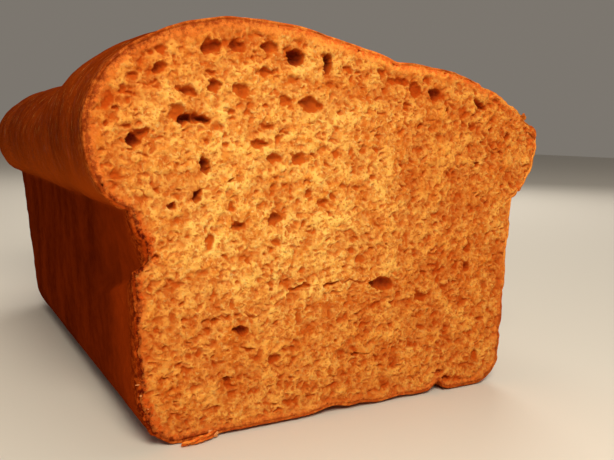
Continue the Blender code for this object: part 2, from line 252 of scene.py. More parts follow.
@dataclass(frozen=True)
class Relief:
    """What stands proud of the loaf's smooth form, or lies below it.

    fold_route holds places behind the cut and heights, and lift places across and how far the
    bottom crust is off the floor there, all in millimetres. bits_right and bits_left hold where the
    torn bits start or end, across and up. Any other pair is where a form starts and ends, or its
    size on the walls and on the crown.
    """

    broad_grain: float = 34 * MM
    broad: Pair = (0.35 * MM, 1.10 * MM)
    fine_grain: float = 11 * MM
    fine: Pair = (0.30 * MM, 0.45 * MM)
    standing: Pair = (1 * MM, 12 * MM)
    blister_grain: float = 3.3 * MM
    blister: float = 0.22 * MM
    smoother_crown: float = 0.6
    wrinkle_grain: Triple = (7 * MM, 1.7 * MM, 7 * MM)
    wrinkle: float = 0.20 * MM
    torn_grain: float = 6.5 * MM
    torn_relief: float = 1.5 * MM
    torn_across: Pair = (49 * MM, 58 * MM)
    torn_up: Pair = (65 * MM, 74 * MM)
    torn_length: float = 8 * MM
    bits: Layers = ((4.3, 0.7, 13), (1.7, 0.7, 14))
    bits_missing: float = 0.25
    bits_depth: float = 0.9 * MM
    bits_length: float = 3.2 * MM
    bits_all_round: float = 0.15
    bits_on_left: float = 0.8
    bits_right: tuple[Pair, Pair] = ((30 * MM, 60 * MM), (4 * MM, 16 * MM))
    bits_left: tuple[Pair, Pair] = ((50 * MM, 58 * MM), (56 * MM, 66 * MM))
    fold_route: tuple[Pair, ...] = ((0, 49.5), (5, 45.5), (17, 41.7), (34, 37.4), (44, 40.5), (56, 43.5))
    fold_depth: float = 3.2 * MM
    fold_lip: float = 2.4 * MM
    fold_deep_to: float = 10 * MM
    notch_x: float = 36 * MM
    notch_depth: float = 3.2 * MM
    notch_width: float = 1.9 * MM
    notch_length: Pair = (2.4 * MM, 12 * MM)
    lift: tuple[Pair, ...] = (
        (-50, 0.1), (-40, 0.8), (-24, 0.9), (-14, 0.8), (-9, 1.3), (-5.5, 2.2),
        (-2.7, 2.3), (2.3, 1.2), (6.6, 1.6), (12.6, 0.6), (18, 1.0), (21, 1.4),
        (27, 0.7), (33, 1.0), (43, 0.4), (52, 0.4), (58, 0.9),
    )
    lift_length: float = 13 * MM
    lift_height: Pair = (2 * MM, 9 * MM)
    cut_round: float = 0.6 * MM
    knife_grain: float = 38 * MM
    knife_wave: float = 0.5 * MM
    knife_reach: float = 30 * MM

    def proud(self, points: Array, form: LoafForm) -> Array:
        """How far the crust stands proud.

        Args:
            points: places on the skin, measured from the cut.
            form: the loaf's form.

        Returns:
            One distance for each point.
        """
        on_crown = smooth_step(points[:, 2], form.rim_height, form.left.widest_height)
        broad = lumps(points, self.broad_grain, 0) * mix(*self.broad, on_crown)
        fine = lumps(points, self.fine_grain, 1) * mix(*self.fine, on_crown)
        rough = 1.0 - self.smoother_crown * on_crown
        blisters = lumps(points, self.blister_grain, 11) * self.blister * rough
        wrinkles = lumps(points, self.wrinkle_grain, 12) * self.wrinkle * on_crown
        standing = smooth_step(points[:, 2], *self.standing)
        return (broad + fine + blisters + wrinkles) * standing + self.torn(points)

    def torn(self, points: Array) -> Array:
        """How far the torn crust by the cut stands off, or is broken away, most of all on the right.

        Args:
            points: places on the skin, measured from the cut.

        Returns:
            One distance for each point.
        """
        across, behind, up = points.T
        shoulder = smooth_step(across, *self.torn_across) * smooth_step(up, *self.torn_up)
        near_cut = fade(behind, 0.0, self.torn_length)
        flakes = self.torn_relief * lumps(points, self.torn_grain, 2) * shoulder * near_cut
        right = smooth_step(across, *self.bits_right[0]) * smooth_step(up, *self.bits_right[1])
        left = smooth_step(-across, *self.bits_left[0]) * fade(up, *self.bits_left[1])
        here = np.clip(self.bits_all_round + right + self.bits_on_left * left, 0, 1)
        bits = layered(points, self.bits) - self.bits_missing
        return flakes + self.bits_depth * bits * fade(behind, 0.0, self.bits_length) * here

    def fold(self, points: Array, form: LoafForm) -> Array:
        """How far the left wall is pushed in at the fold: a long slope above it and a short lip below.

        Args:
            points: places on the skin, measured from the cut.
            form: the loaf's form.

        Returns:
            One distance for each point.
        """
        across, behind, height = points.T
        route = np.array(self.fold_route) * MM
        crease = np.interp(behind, *route.T)
        above = smooth_step(1.0 - (height - crease) / (form.rim_height - crease), 0.0, 1.0)
        below = smooth_step(height - crease, -self.fold_lip, 0.0)
        share = np.where(height > crease, above, below) * fade(behind, self.fold_deep_to, route[-1, 0])
        return np.where((across < 0) & (height < form.rim_height), self.fold_depth * share, 0.0)

    def raised(self, points: Array) -> Array:
        """How far the bottom crust is off the floor by the cut: pinched up at the notch, and lifted.

        Args:
            points: places on the skin, measured from the cut.

        Returns:
            One distance for each point.
        """
        across, behind, height = points.T
        pinch = self.notch_depth * np.exp(-(((across - self.notch_x) / self.notch_width) ** 2))
        lift = np.interp(across / MM, *np.array(self.lift).T) * MM
        near_cut = fade(behind, 0.0, self.lift_length)
        return (pinch * fade(behind, *self.notch_length) + lift * near_cut) * fade(height, *self.lift_height)

    def rounding(self, behind: Array) -> Array:
        """How far the skin turns in where it meets the cut."""
        short = np.clip(self.cut_round - behind, 0.0, None)
        return self.cut_round - np.sqrt(np.maximum(0.0, self.cut_round**2 - short**2))

    def knife(self, across: Array, up: Array) -> Array:
        """How far the cut waves from its plane, at places across and up the cut face."""
        return lumps(on_face(across, up), self.knife_grain, 3) * self.knife_wave


def mesh_rows(parts: bpy.types.bpy_prop_collection, name: str, width: int, kind: type = float) -> Array:
    """Reads one property of all of a mesh's parts of a kind.

    Args:
        parts: the parts, such as its vertices.
        name: the property.
        width: how many numbers it has.
        kind: the kind of number.

    Returns:
        One row for each part.
    """
    flat = np.empty(len(parts) * width, kind)
    parts.foreach_get(name, flat)
    return flat.reshape(-1, width)


def mesh_points(piece: Piece) -> Array:
    """The places of a mesh's vertices, as rows of X, Y and Z."""
    return mesh_rows(piece.data.vertices, "co", 3)


def place_points(piece: Piece, points: Array) -> None:
    """Moves a mesh's vertices to new places."""
    piece.data.vertices.foreach_set("co", points.ravel())
    piece.data.update()


def set_attribute(piece: Piece, name: str, values: Array) -> None:
    """Stores one value for each vertex of a mesh, which a material reads by its name."""
    attribute = piece.data.attributes.get(name) or piece.data.attributes.new(name, "FLOAT", "POINT")
    attribute.data.foreach_set("value", values.astype(np.float32))


def open_edges(piece: Piece) -> Array:
    """Finds a mesh's open edges.

    Args:
        piece: the mesh.

    Returns:
        The vertices that lie on them.
    """
    mesh = piece.data
    edge_of_loop = mesh_rows(mesh.loops, "edge_index", 1, np.int64)[:, 0]
    uses = np.bincount(edge_of_loop, minlength=len(mesh.edges))
    return np.unique(mesh_rows(mesh.edges, "vertices", 2, np.int64)[uses == 1])


def tree_of(points: Array) -> kdtree.KDTree:
    """Sorts points into a tree.

    Args:
        points: rows of X, Y and Z.

    Returns:
        The tree, which finds the nearest of them.
    """
    tree = kdtree.KDTree(len(points))
    for i, point in enumerate(points):
        tree.insert(point, i)
    tree.balance()
    return tree


def select_only(piece: Piece) -> None:
    """Makes one object the only one selected, and the active one.

    Args:
        piece: the object.
    """
    bpy.ops.object.select_all(action="DESELECT")
    piece.select_set(True)
    bpy.context.view_layer.objects.active = piece


def select_vertices(piece: Piece, chosen: Array) -> None:
    """Opens a mesh for editing with only some vertices selected.

    Args:
        piece: the mesh.
        chosen: the vertices, as indices or as a mask.
    """
    flags = np.zeros(len(piece.data.vertices), bool)
    flags[chosen] = True
    select_only(piece)
    bpy.ops.object.mode_set(mode="EDIT")
    bpy.ops.mesh.select_mode(type="VERT")
    bpy.ops.mesh.select_all(action="DESELECT")
    bpy.ops.object.mode_set(mode="OBJECT")
    piece.data.vertices.foreach_set("select", flags)
    bpy.ops.object.mode_set(mode="EDIT")


def turn_outwards() -> None:
    """Turns all faces of the mesh that is open for editing outwards, and closes it."""
    bpy.ops.mesh.select_all(action="SELECT")
    bpy.ops.mesh.normals_make_consistent(inside=False)
    bpy.ops.object.mode_set(mode="OBJECT")


def draw_out(piece: Piece, edge: Array) -> tuple[Array, Array]:
    """Extrudes a loop of open edges on the spot.

    Args:
        piece: the mesh.
        edge: the loop's vertices.

    Returns:
        The fresh vertices, and for each of them its place in the old loop.
    """
    count = len(piece.data.vertices)
    select_vertices(piece, edge)
    bpy.ops.mesh.extrude_region_move()
    bpy.ops.object.mode_set(mode="OBJECT")
    points = mesh_points(piece)
    fresh = np.arange(count, len(points))
    tree = tree_of(points[edge])
    return fresh, np.array([tree.find(point)[1] for point in points[fresh]])


def cap_off(piece: Piece, edge: Array) -> None:
    """Closes a loop of open edges with a face.

    Args:
        piece: the mesh.
        edge: the loop's vertices.
    """
    select_vertices(piece, edge)
    bpy.ops.mesh.edge_face_add()
    turn_outwards()


def rename(piece: Piece, name: str) -> Piece:
    """Gives an object and its mesh a name."""
    piece.name = piece.data.name = name
    return piece


def new_grid(name: str, columns: int, rows: int) -> tuple[Piece, Array]:
    """Adds a flat grid.

    Args:
        name: its name.
        columns: the vertices along each row.
        rows: the rows of vertices.

    Returns:
        The grid, and its vertices as shares along and across it.
    """
    bpy.ops.object.select_all(action="DESELECT")
    bpy.ops.mesh.primitive_grid_add(x_subdivisions=columns - 1, y_subdivisions=rows - 1, size=1.0)
    piece = rename(bpy.context.object, name)
    return piece, mesh_points(piece)[:, :2] + 0.5


@dataclass
class CutOutline:
    """The outline of the cut face, and how thick and how dark the crust is along it.

    Each row of the band is an angle round the heart in degrees, where 0 is to the right and 90 is
    up, the crust's thickness there in millimetres, and its darkness.
    """

    points: Array
    heart: Pair = (0.0, 55 * MM)
    band: tuple[Triple, ...] = (
        (0, 0.2, 0.1), (22, 0.2, 0.1), (40, 0.8, 0.05), (65, 1.9, 0.0), (95, 2.1, 0.05),
        (128, 2.7, 0.55), (150, 1.8, 0.65), (168, 1.6, 0.6), (173.5, 1.2, 0.75), (179, 2.6, 1.0),
        (185.6, 1.0, 1.0), (189.5, 1.6, 0.9), (194.8, 2.2, 0.8), (198, 0.9, 1.0), (204.5, 0.7, 1.0),
        (209.8, 0.9, 1.0), (211.9, 1.6, 1.0), (214.3, 2.5, 1.0), (217.3, 3.0, 1.0), (220.2, 2.8, 0.95),
        (223.2, 2.5, 0.7), (228, 2.1, 0.55), (236, 1.3, 0.45), (270, 0.8, 0.4), (300, 0.8, 0.4),
        (312, 1.1, 0.5), (325, 1.3, 0.5), (345, 0.3, 0.2),
    )
    uneven: Layers = ((4.4, 0.34, 21), (1.9, 0.26, 22))
    pale_mm: Pair = (0.3, 1.0)
    stride: int = 4

    def __post_init__(self) -> None:
        """Puts the points in order round the heart, and finds the way inwards at each."""
        self.points = self.points[np.argsort(self.angle(self.points))]
        ahead = np.roll(self.points, -self.stride, axis=0) - np.roll(self.points, self.stride, axis=0)
        self.inward = np.column_stack((-ahead[:, 1], ahead[:, 0]))
        self.inward /= np.linalg.norm(self.inward, axis=1, keepdims=True)
        self.dense = finer(self.points)
        self.tree = tree_of(on_face(*self.dense.T))

    def angle(self, places: Array) -> Array:
        """The angles of places round the heart, 0 to 360 degrees."""
        return np.degrees(np.arctan2(places[:, 1] - self.heart[1], places[:, 0] - self.heart[0])) % 360

    def read(self, places: Array, column: int) -> Array:
        """A column of the band at places on the cut face."""
        rows = np.array(self.band)
        return np.interp(self.angle(places), rows[:, 0], rows[:, column], period=360)

    def crust(self, places: Array) -> Array:
        """How thick the crust is at places on the outline."""
        return self.read(places, 1) * MM * layered(on_face(*places.T), self.uneven, 1.0)

    def darkness(self, places: Array) -> Array:
        """How dark the crust's cut edge is at places on the cut face, 0 to 1."""
        return self.read(places, 2)

    def paleness(self, places: Array) -> Array:
        """How far the cut edge has the crumb's own colour, as it has where the crust is thin and pale."""
        return fade(self.read(places, 1), *self.pale_mm) * (1.0 - self.darkness(places))

    def colour_marks(self, piece: Piece, places: Array) -> None:
        """Stores how dark and how pale the crust's cut edge is at a mesh's places on the cut face."""
        set_attribute(piece, "dark", self.darkness(places))
        set_attribute(piece, "pale", self.paleness(places))

    def nearest(self, places: Array) -> tuple[Array, Array]:
        """Finds the outline's nearest point.

        Args:
            places: places on the cut face.

        Returns:
            How far each is from the outline, and the index of the nearest dense point.
        """
        found = [self.tree.find(spot)[1:] for spot in on_face(*places.T)]
        index, distance = (np.array(column) for column in zip(*found))
        return distance, index

    def shrunk(self, places: Array, share: float) -> Array:
        """Places drawn towards the heart."""
        return mix(np.array(self.heart), places, share)


@dataclass(frozen=True)
class LipRing:
    """One ring of the crust's edge at the cut.

    cut_share is how much it has of the cut edge's colour. The rest is how far in and how far back
    it stands, and how much smaller it is.
    """

    cut_share: float
    inset: float
    back: float
    scale: float = 1.0


@dataclass
class Crust:
    """The loaf's skin, its lip at the cut, and the recess behind the cut that the crumb fills."""

    form: LoafForm
    relief: Relief
    side_stations: int = 120
    crowding: float = 1.35
    approach_stations: int = 8
    heel_stations: int = 40
    corner_stations: int = 16
    base_rows: int = 26
    corner_rows: int = 16
    corner_pull: float = 0.8
    wall_rows: int = 38
    tuck_rows: int = 16
    crown_rows: int = 66
    seam: float = 0.3 * MM
    seam_gap: float = 0.03 * MM
    near_length: float = 7 * MM
    rings: tuple[LipRing, ...] = (
        LipRing(0.4, 0.04 * MM, 0.16 * MM),
        LipRing(0.8, 0.16 * MM, 0.03 * MM),
        LipRing(1.0, 0.34 * MM, 0.14 * MM),
        LipRing(1.0, 0.50 * MM, 0.90 * MM),
        LipRing(1.0, 1.20 * MM, 2.4 * MM),
        LipRing(1.0, 1.20 * MM, 11 * MM, 0.90),
    )

    def plan_path(self, left: float, right: float, heel: float, corner: float) -> Array:
        """Places in plan along one level: back along the left side, round the heel, along the right side.

        Args:
            left: how far out the level stands on the left.
            right: how far out it stands on the right.
            heel: how far behind the cut it ends.
            corner: its radius in plan at the heel.

        Returns:
            Rows of X and of the distance behind the cut.
        """
        end = self.form.spine_end
        side = end * (np.arange(self.side_stations) / self.side_stations) ** self.crowding
        approach = mix(end, heel - corner, np.arange(self.approach_stations) / self.approach_stations)
        side = np.append(side, approach)
        turn = np.linspace(0, QUARTER_TURN, self.corner_stations + 1)
        across = mix(corner - left, right - corner, np.linspace(0, 1, self.heel_stations + 1)[1:-1])
        parts = (
            (np.full_like(side, -left), side),
            (corner - left - corner * np.cos(turn), heel - corner + corner * np.sin(turn)),
            (across, np.full_like(across, heel)),
            (right - corner + corner * np.sin(turn), heel - corner + corner * np.cos(turn)),
            (np.full_like(side, right), side[::-1]),
        )
        return np.concatenate([np.column_stack(part) for part in parts])

    def levels(self) -> list[tuple[float, float, Array]]:
        """The levels from the floor to the crown's widest.

        Returns:
            The height on the left, the height on the right and the path in plan of each.
        """
        form, made = self.form, []
        feet, lobes = (form.left_foot, form.right_foot), (form.left, form.right)
        turns = np.linspace(0, QUARTER_TURN, self.corner_rows + 1)[:-1]
        tin = [[foot.profile(turn) for foot in feet] for turn in turns]
        for share in np.arange(self.wall_rows) / self.wall_rows:
            tin.append([(0.0, mix(foot.height, form.rim_height, share)) for foot in feet])
        for spots in tin:
            heel_in, heel_up = (sum(column) / 2 for column in zip(*spots))
            outs = (form.tin_side(up) - inwards for inwards, up in spots)
            corner = form.tin_corner(heel_up) - self.corner_pull * heel_in
            path = self.plan_path(*outs, form.tin_heel(heel_up) - heel_in, corner)
            made.append((spots[0][1], spots[1][1], path))
        for turn in np.linspace(0, QUARTER_TURN, self.tuck_rows + 1):
            spots = [lobe.underside(turn) for lobe in lobes]
            share = spots[0][0]
            outs = (mix(form.rim_width / 2, lobe.reach, out) for lobe, (out, _) in zip(lobes, spots))
            heel = form.tin_heel(form.rim_height) + form.heel_overhang * share
            path = self.plan_path(*outs, heel, mix(form.rim_corner, form.crown_corner, share))
            ups = (mix(form.rim_height, lobe.widest_height, up) for lobe, (_, up) in zip(lobes, spots))
            made.append((*ups, path))
        return made

    def skin(self) -> Array:
        """The skin's smooth form.

        Returns:
            Rows of points from the middle of the base, out round the floor, up the walls and over
            the crown.
        """
        form, levels = self.form, self.levels()
        floor = levels[0][2]
        count = len(floor)
        start = self.side_stations + self.approach_stations
        rightness = smooth_step(np.arange(count), start, count - 1 - start)
        spine = np.minimum(floor[:, 1], form.spine_end)
        rows = [
            np.column_stack((floor[:, 0] * share, mix(spine, floor[:, 1], share), np.zeros(count)))
            for share in np.arange(self.base_rows) / self.base_rows
        ]
        rows += [np.column_stack((path, mix(left, right, rightness))) for left, right, path in levels]
        edge = rows[-1]
        spine = np.minimum(edge[:, 1], form.spine_end)
        power = mix(form.left.roundness, form.right.roundness, rightness)
        for turn in np.linspace(0, QUARTER_TURN, self.crown_rows + 1)[1:]:
            share = math.cos(turn)
            across = edge[:, 0] * share
            up = edge[:, 2] + (form.crown_ceiling(across) - edge[:, 2]) * superellipse(share, power)
            rows.append(np.column_stack((across, mix(spine, edge[:, 1], share), up)))
        skin = np.array(rows)
        above = np.maximum(0.0, skin[..., 2] - form.rim_height)
        skin[..., 2] += above * (form.crown_settle(skin[..., 1]) - 1.0)
        return skin

    def build(self) -> Piece:
        """Shapes the skin from a grid, then adds the lip and the recess at the cut.

        Returns:
            The crust.
        """
        skin, relief = self.skin(), self.relief
        rows, count = skin.shape[:2]
        piece, _ = new_grid("crust", count, rows)
        place_points(piece, skin.reshape(-1, 3))
        select_vertices(piece, np.abs(skin.reshape(-1, 3)[:, 0]) < self.seam)
        bpy.ops.mesh.remove_doubles(threshold=self.seam_gap)
        turn_outwards()
        points, normals = mesh_points(piece), mesh_rows(piece.data.vertex_normals, "vector", 3)
        if np.sum(normals[:, 0] * points[:, 0]) < 0:
            normals = -normals
        fold, raised = relief.fold(points, self.form), relief.raised(points)
        points += normals * (relief.proud(points, self.form) - relief.rounding(points[:, 1]))[:, None]
        points[:, 0] += fold
        points[:, 2] = np.maximum(0.0, points[:, 2] + raised)
        edge = open_edges(piece)
        points[edge, 1] = 0.0
        self.outline = CutOutline(points[edge][:, [0, 2]])
        near_cut = fade(points[:, 1], 0.0, relief.knife_reach)
        points[:, 1] += relief.knife(points[:, 0], points[:, 2]) * near_cut
        place_points(piece, points)
        self.add_lip(piece, edge)
        return piece

    def add_lip(self, piece: Piece, edge: Array) -> None:
        """Draws the open edge at the cut inwards, ring by ring, and closes the recess behind it.

        Args:
            piece: the skin.
            edge: the vertices of its open edge.
        """
        outline = self.outline
        tree = tree_of(on_face(*outline.points.T))
        places = mesh_points(piece)[edge][:, [0, 2]]
        order = np.array([tree.find(spot)[1] for spot in on_face(*places.T)])
        start, inward = outline.points[order], outline.inward[order]
        face = self.relief.knife(*start.T)
        cut = np.zeros(len(piece.data.vertices))
        for ring in self.rings:
            fresh, old = draw_out(piece, edge)
            start, inward, face = start[old], inward[old], face[old]
            spots = outline.shrunk(start + inward * ring.inset, ring.scale)
            points = mesh_points(piece)
            points[fresh] = np.column_stack((spots[:, 0], face + ring.back, spots[:, 1]))
            place_points(piece, points)
            cut = np.append(cut, np.full(len(fresh), ring.cut_share))
            edge = fresh
        cap_off(piece, edge)
        set_attribute(piece, "cut", cut)
        points = mesh_points(piece)
        outline.colour_marks(piece, points[:, [0, 2]])
        set_attribute(piece, "near", fade(points[:, 1], 0.0, self.near_length))


@dataclass
class FoamField:
    """The cut face laid out as rows and columns, drawn a little askew so that no bubble stays round."""

    rows: int
    columns: int
    cell: Pair
    x: Array
    z: Array
    openness: Array
    slope: Array
    stray: float = 1.3 * MM

    @property
    def area(self) -> float:
        """The area of the whole field."""
        return self.rows * self.cell[1] * self.columns * self.cell[0]

    def window(self, row: int, column: int, reach: float) -> tuple[slice, slice]:
        """The part of the field within reach of a place."""
        down, across = int(reach / self.cell[1]) + 1, int(reach / self.cell[0]) + 1
        return slice(max(0, row - down), row + down + 1), slice(max(0, column - across), column + across + 1)


@dataclass(frozen=True)
class Bubbles:
    """Bubbles of one kind that the knife opened: their radii, and how many there are in a square centimetre.

    below is how far their middles lie behind the cut, in radii, and deepness is how far they reach
    back. size_power above 1 makes small ones more common.
    """

    radius: Pair
    per_square_cm: float
    flatness: Pair
    below: Pair
    deepness: float
    patchy: float
    seed: int
    tilt: float = 22.0
    size_power: float = 1.8
    steepness: Pair = (0.7, 1.5)
    margin: float = 1.3

    def sink(self, deep: Array, field: FoamField) -> None:
        """Opens the bubbles.

        Args:
            deep: the depths, which they deepen.
            field: the field that the depths belong to.
        """
        chance = np.random.default_rng(self.seed)
        count = int(self.per_square_cm * field.area / (10 * MM) ** 2)
        for x, z, size, flat, back, tilt, keep, soft in chance.random((count, 8)):
            spot = row, column = int(z * field.rows), int(x * field.columns)
            if keep < self.patchy * (1.0 - field.openness[spot]):
                continue
            radius = mix(*self.radius, size**self.size_power)
            window = field.window(row, column, self.margin * radius + field.stray)
            turn = math.radians(mix(-self.tilt, self.tilt, tilt)) + field.slope[spot]
            across, up = field.x[window] - field.x[spot], field.z[window] - field.z[spot]
            u = (across * math.cos(turn) + up * math.sin(turn)) / radius
            v = (up * math.cos(turn) - across * math.sin(turn)) / (radius * mix(*self.flatness, flat))
            ball = np.clip(1.0 - u * u - v * v, 0.0, None)
            bowl = radius * (mix(*self.below, back) + self.deepness * ball ** mix(*self.steepness, soft))
            deep[window] = np.where(ball > 0, np.maximum(deep[window], bowl), deep[window])


@dataclass(frozen=True)
class Hole:
    """A hole in the crumb: across, up, width, height and depth in millimetres, and tilt in degrees."""

    across: float
    up: float
    width: float
    height: float
    depth: float
    tilt: float = 0.0
    steepness: float = 0.6

    def deep(self, across: Array, up: Array) -> Array:
        """The hole's depth.

        Args:
            across: places across the cut face.
            up: their heights.

        Returns:
            The depth at each.
        """
        offset_x, offset_z = across - self.across * MM, up - self.up * MM
        tilt = math.radians(self.tilt)
        u = (offset_x * math.cos(tilt) + offset_z * math.sin(tilt)) / (self.width * MM / 2)
        v = (offset_z * math.cos(tilt) - offset_x * math.sin(tilt)) / (self.height * MM / 2)
        return self.depth * MM * np.clip(1 - u * u - v * v, 0, None) ** self.steepness


@dataclass(frozen=True)
class Crease:
    """A fine crease in the crumb: places across and up, its width and its depth, in millimetres."""

    route: tuple[Pair, ...]
    width: float
    depth: float

    def deep(self, across: Array, up: Array) -> Array:
        """The crease's depth.

        Args:
            across: places across the cut face.
            up: their heights.

        Returns:
            The depth at each.
        """
        here, route = np.column_stack((across, up)), np.array(self.route) * MM
        nearest = np.full(len(across), np.inf)
        for start, way in zip(route, np.diff(route, axis=0)):
            along = np.clip((here - start) @ way / np.sum(way**2), 0, 1)
            nearest = np.minimum(nearest, np.linalg.norm(here - start - along[:, None] * way, axis=1))
        return self.depth * MM * np.clip(1 - (nearest / (self.width * MM / 2)) ** 2, 0, None)


# A row is one hole: across, up, width, height, depth and, where it leans, tilt.
HOLES = (
    (-62.7, 79.8, 4.0, 3.8, 4.2), (-60.4, 81.4, 4.6, 3.6, 2.2, 30), (-51.4, 86.8, 4.6, 4.4, 1.5, 40),
    (-49.0, 85.2, 4.6, 3.2, 4.2), (-45.2, 85.3, 5.8, 2.4, 3.4, -10), (-44.1, 73.6, 2.8, 4.8, 4.0, 12),
    (-46.1, 65.8, 2.6, 3.8, 3.4, -20), (-52.8, 63.2, 2.4, 2.4, 2.6), (-23.8, 58.7, 5.4, 3.4, 2.6, 10),
    (-34.6, 57.3, 4.8, 2.4, 2.2), (-42.8, 53.3, 2.4, 5.6, 1.6, -10), (-24.4, 75.6, 4.6, 3.7, 1.9),
    (-16.7, 75.2, 4.8, 3.8, 2.1, 20), (-28.9, 79.1, 5.4, 2.6, 1.9), (-21.2, 90.7, 4.6, 2.8, 1.9),
    (-13.7, 90.1, 6.4, 4.2, 2.4, -15), (-18.2, 102.2, 5.2, 4.7, 5.5), (-8.2, 101.4, 3.2, 5.8, 5.0, 10),
    (-42.6, 103.2, 6.0, 4.2, 2.8, 16), (-35.4, 104.0, 4.8, 3.4, 2.4, -20), (-26.6, 104.4, 5.4, 2.8, 2.2),
    (-56.1, 97.4, 4.3, 2.7, 2.4, 30), (-48.9, 92.0, 6.0, 2.4, 2.3, -14), (-41.9, 93.9, 4.2, 3.8, 2.6),
    (-34.3, 92.7, 5.3, 3.5, 2.0, -10), (-27.2, 98.0, 6.4, 2.4, 1.9, 6), (21.6, 95.6, 5.4, 4.3, 2.2),
    (29.4, 94.6, 5.6, 3.4, 3.2, -14), (47.7, 92.2, 5.4, 2.6, 3.0, -24), (9.6, 38.2, 4.4, 2.0, 3.4, -14),
    (12.9, 38.0, 7.4, 4.8, 3.2, -10), (27.0, 32.7, 5.8, 3.4, 2.2, -20), (-33.6, 29.0, 5.3, 2.5, 3.2, -18),
    (-23.9, 19.6, 4.6, 2.8, 1.8, 8), (45.7, 47.6, 2.6, 5.0, 2.4, -22), (45.6, 40.4, 2.5, 3.4, 2.4),
    (36.6, 6.6, 3.6, 2.5, 2.2), (-10.5, 89.5, 2.8, 1.9, 1.6, -10), (-27.0, 89.1, 3.0, 1.3, 1.2),
    (-36.7, 87.2, 2.6, 1.3, 1.2), (-32.5, 87.4, 2.2, 1.8, 1.2), (-26.6, 83.7, 5.0, 1.5, 1.5, -8),
    (-21.2, 82.5, 3.8, 1.5, 1.4, -6), (-15.9, 82.0, 2.8, 1.3, 1.0), (-4.9, 76.7, 2.2, 3.0, 1.3),
    (0.1, 77.3, 1.9, 2.2, 1.0), (-9.2, 78.3, 2.8, 1.6, 1.0, -30), (-11.3, 74.2, 2.2, 2.4, 1.0),
    (-13.6, 65.9, 1.8, 2.8, 1.6), (-5.8, 64.6, 1.6, 2.2, 1.4), (-9.4, 63.0, 3.1, 2.7, 1.6),
    (-6.6, 60.0, 3.2, 1.7, 1.3, -20), (-2.6, 67.4, 3.3, 1.9, 1.1, -10), (2.2, 67.0, 2.6, 1.6, 1.2, 10),
    (7.7, 70.1, 2.3, 1.6, 1.2), (-19.0, 66.8, 1.8, 3.4, 0.9), (-36.7, 62.4, 1.9, 2.9, 1.2, -10),
    (-16.0, 59.5, 2.8, 2.4, 0.9, 40), (-44.5, 45.6, 5.0, 1.5, 0.9, 8), (-51.5, 43.1, 4.4, 2.2, 0.9, -12),
    (-24.8, 50.5, 1.7, 1.7, 1.2), (-31.7, 47.7, 1.4, 2.3, 1.2), (-24.4, 44.9, 1.9, 1.5, 1.2),
    (1.2, 49.0, 1.8, 2.3, 1.0, -20), (5.3, 42.7, 2.2, 1.2, 1.0), (-0.5, 29.4, 1.8, 2.9, 1.0, -20),
    (-31.6, 23.5, 5.0, 1.3, 1.2, -6), (-46.6, 28.0, 2.6, 2.3, 0.9), (-45.5, 24.3, 4.3, 2.2, 0.9, 12),
    (-52.3, 25.2, 4.3, 1.8, 0.9, -10), (-46.9, 14.9, 6.6, 1.8, 1.2, 14), (-37.5, 15.7, 2.6, 1.8, 2.4),
    (-37.1, 4.6, 2.5, 1.2, 1.0), (-18.0, 21.5, 2.1, 2.6, 1.0), (3.4, 17.4, 2.8, 1.5, 2.2),
    (14.9, 5.4, 2.9, 1.2, 1.0), (-18.9, 6.0, 4.6, 1.7, 0.9, 4), (39.7, 4.2, 4.4, 2.2, 2.4, -10),
    (34.6, 90.3, 2.0, 1.8, 2.4), (45.0, 85.5, 3.2, 1.8, 1.3, -20), (53.1, 85.0, 2.5, 1.5, 1.2),
    (60.2, 82.9, 2.8, 2.3, 2.4, 30), (47.5, 73.9, 1.7, 1.5, 2.2), (39.6, 62.6, 3.1, 2.2, 1.0),
    (52.7, 61.3, 1.7, 1.8, 1.2), (-68.8, 89.0, 3.0, 5.2, 1.2, -20), (-65.2, 92.0, 2.3, 3.0, 1.2, -30),
    (-55.2, 101.6, 3.0, 3.0, 1.2), (16.7, 97.9, 6.6, 2.2, 1.4, -8), (9.8, 100.2, 3.5, 1.9, 1.4),
)


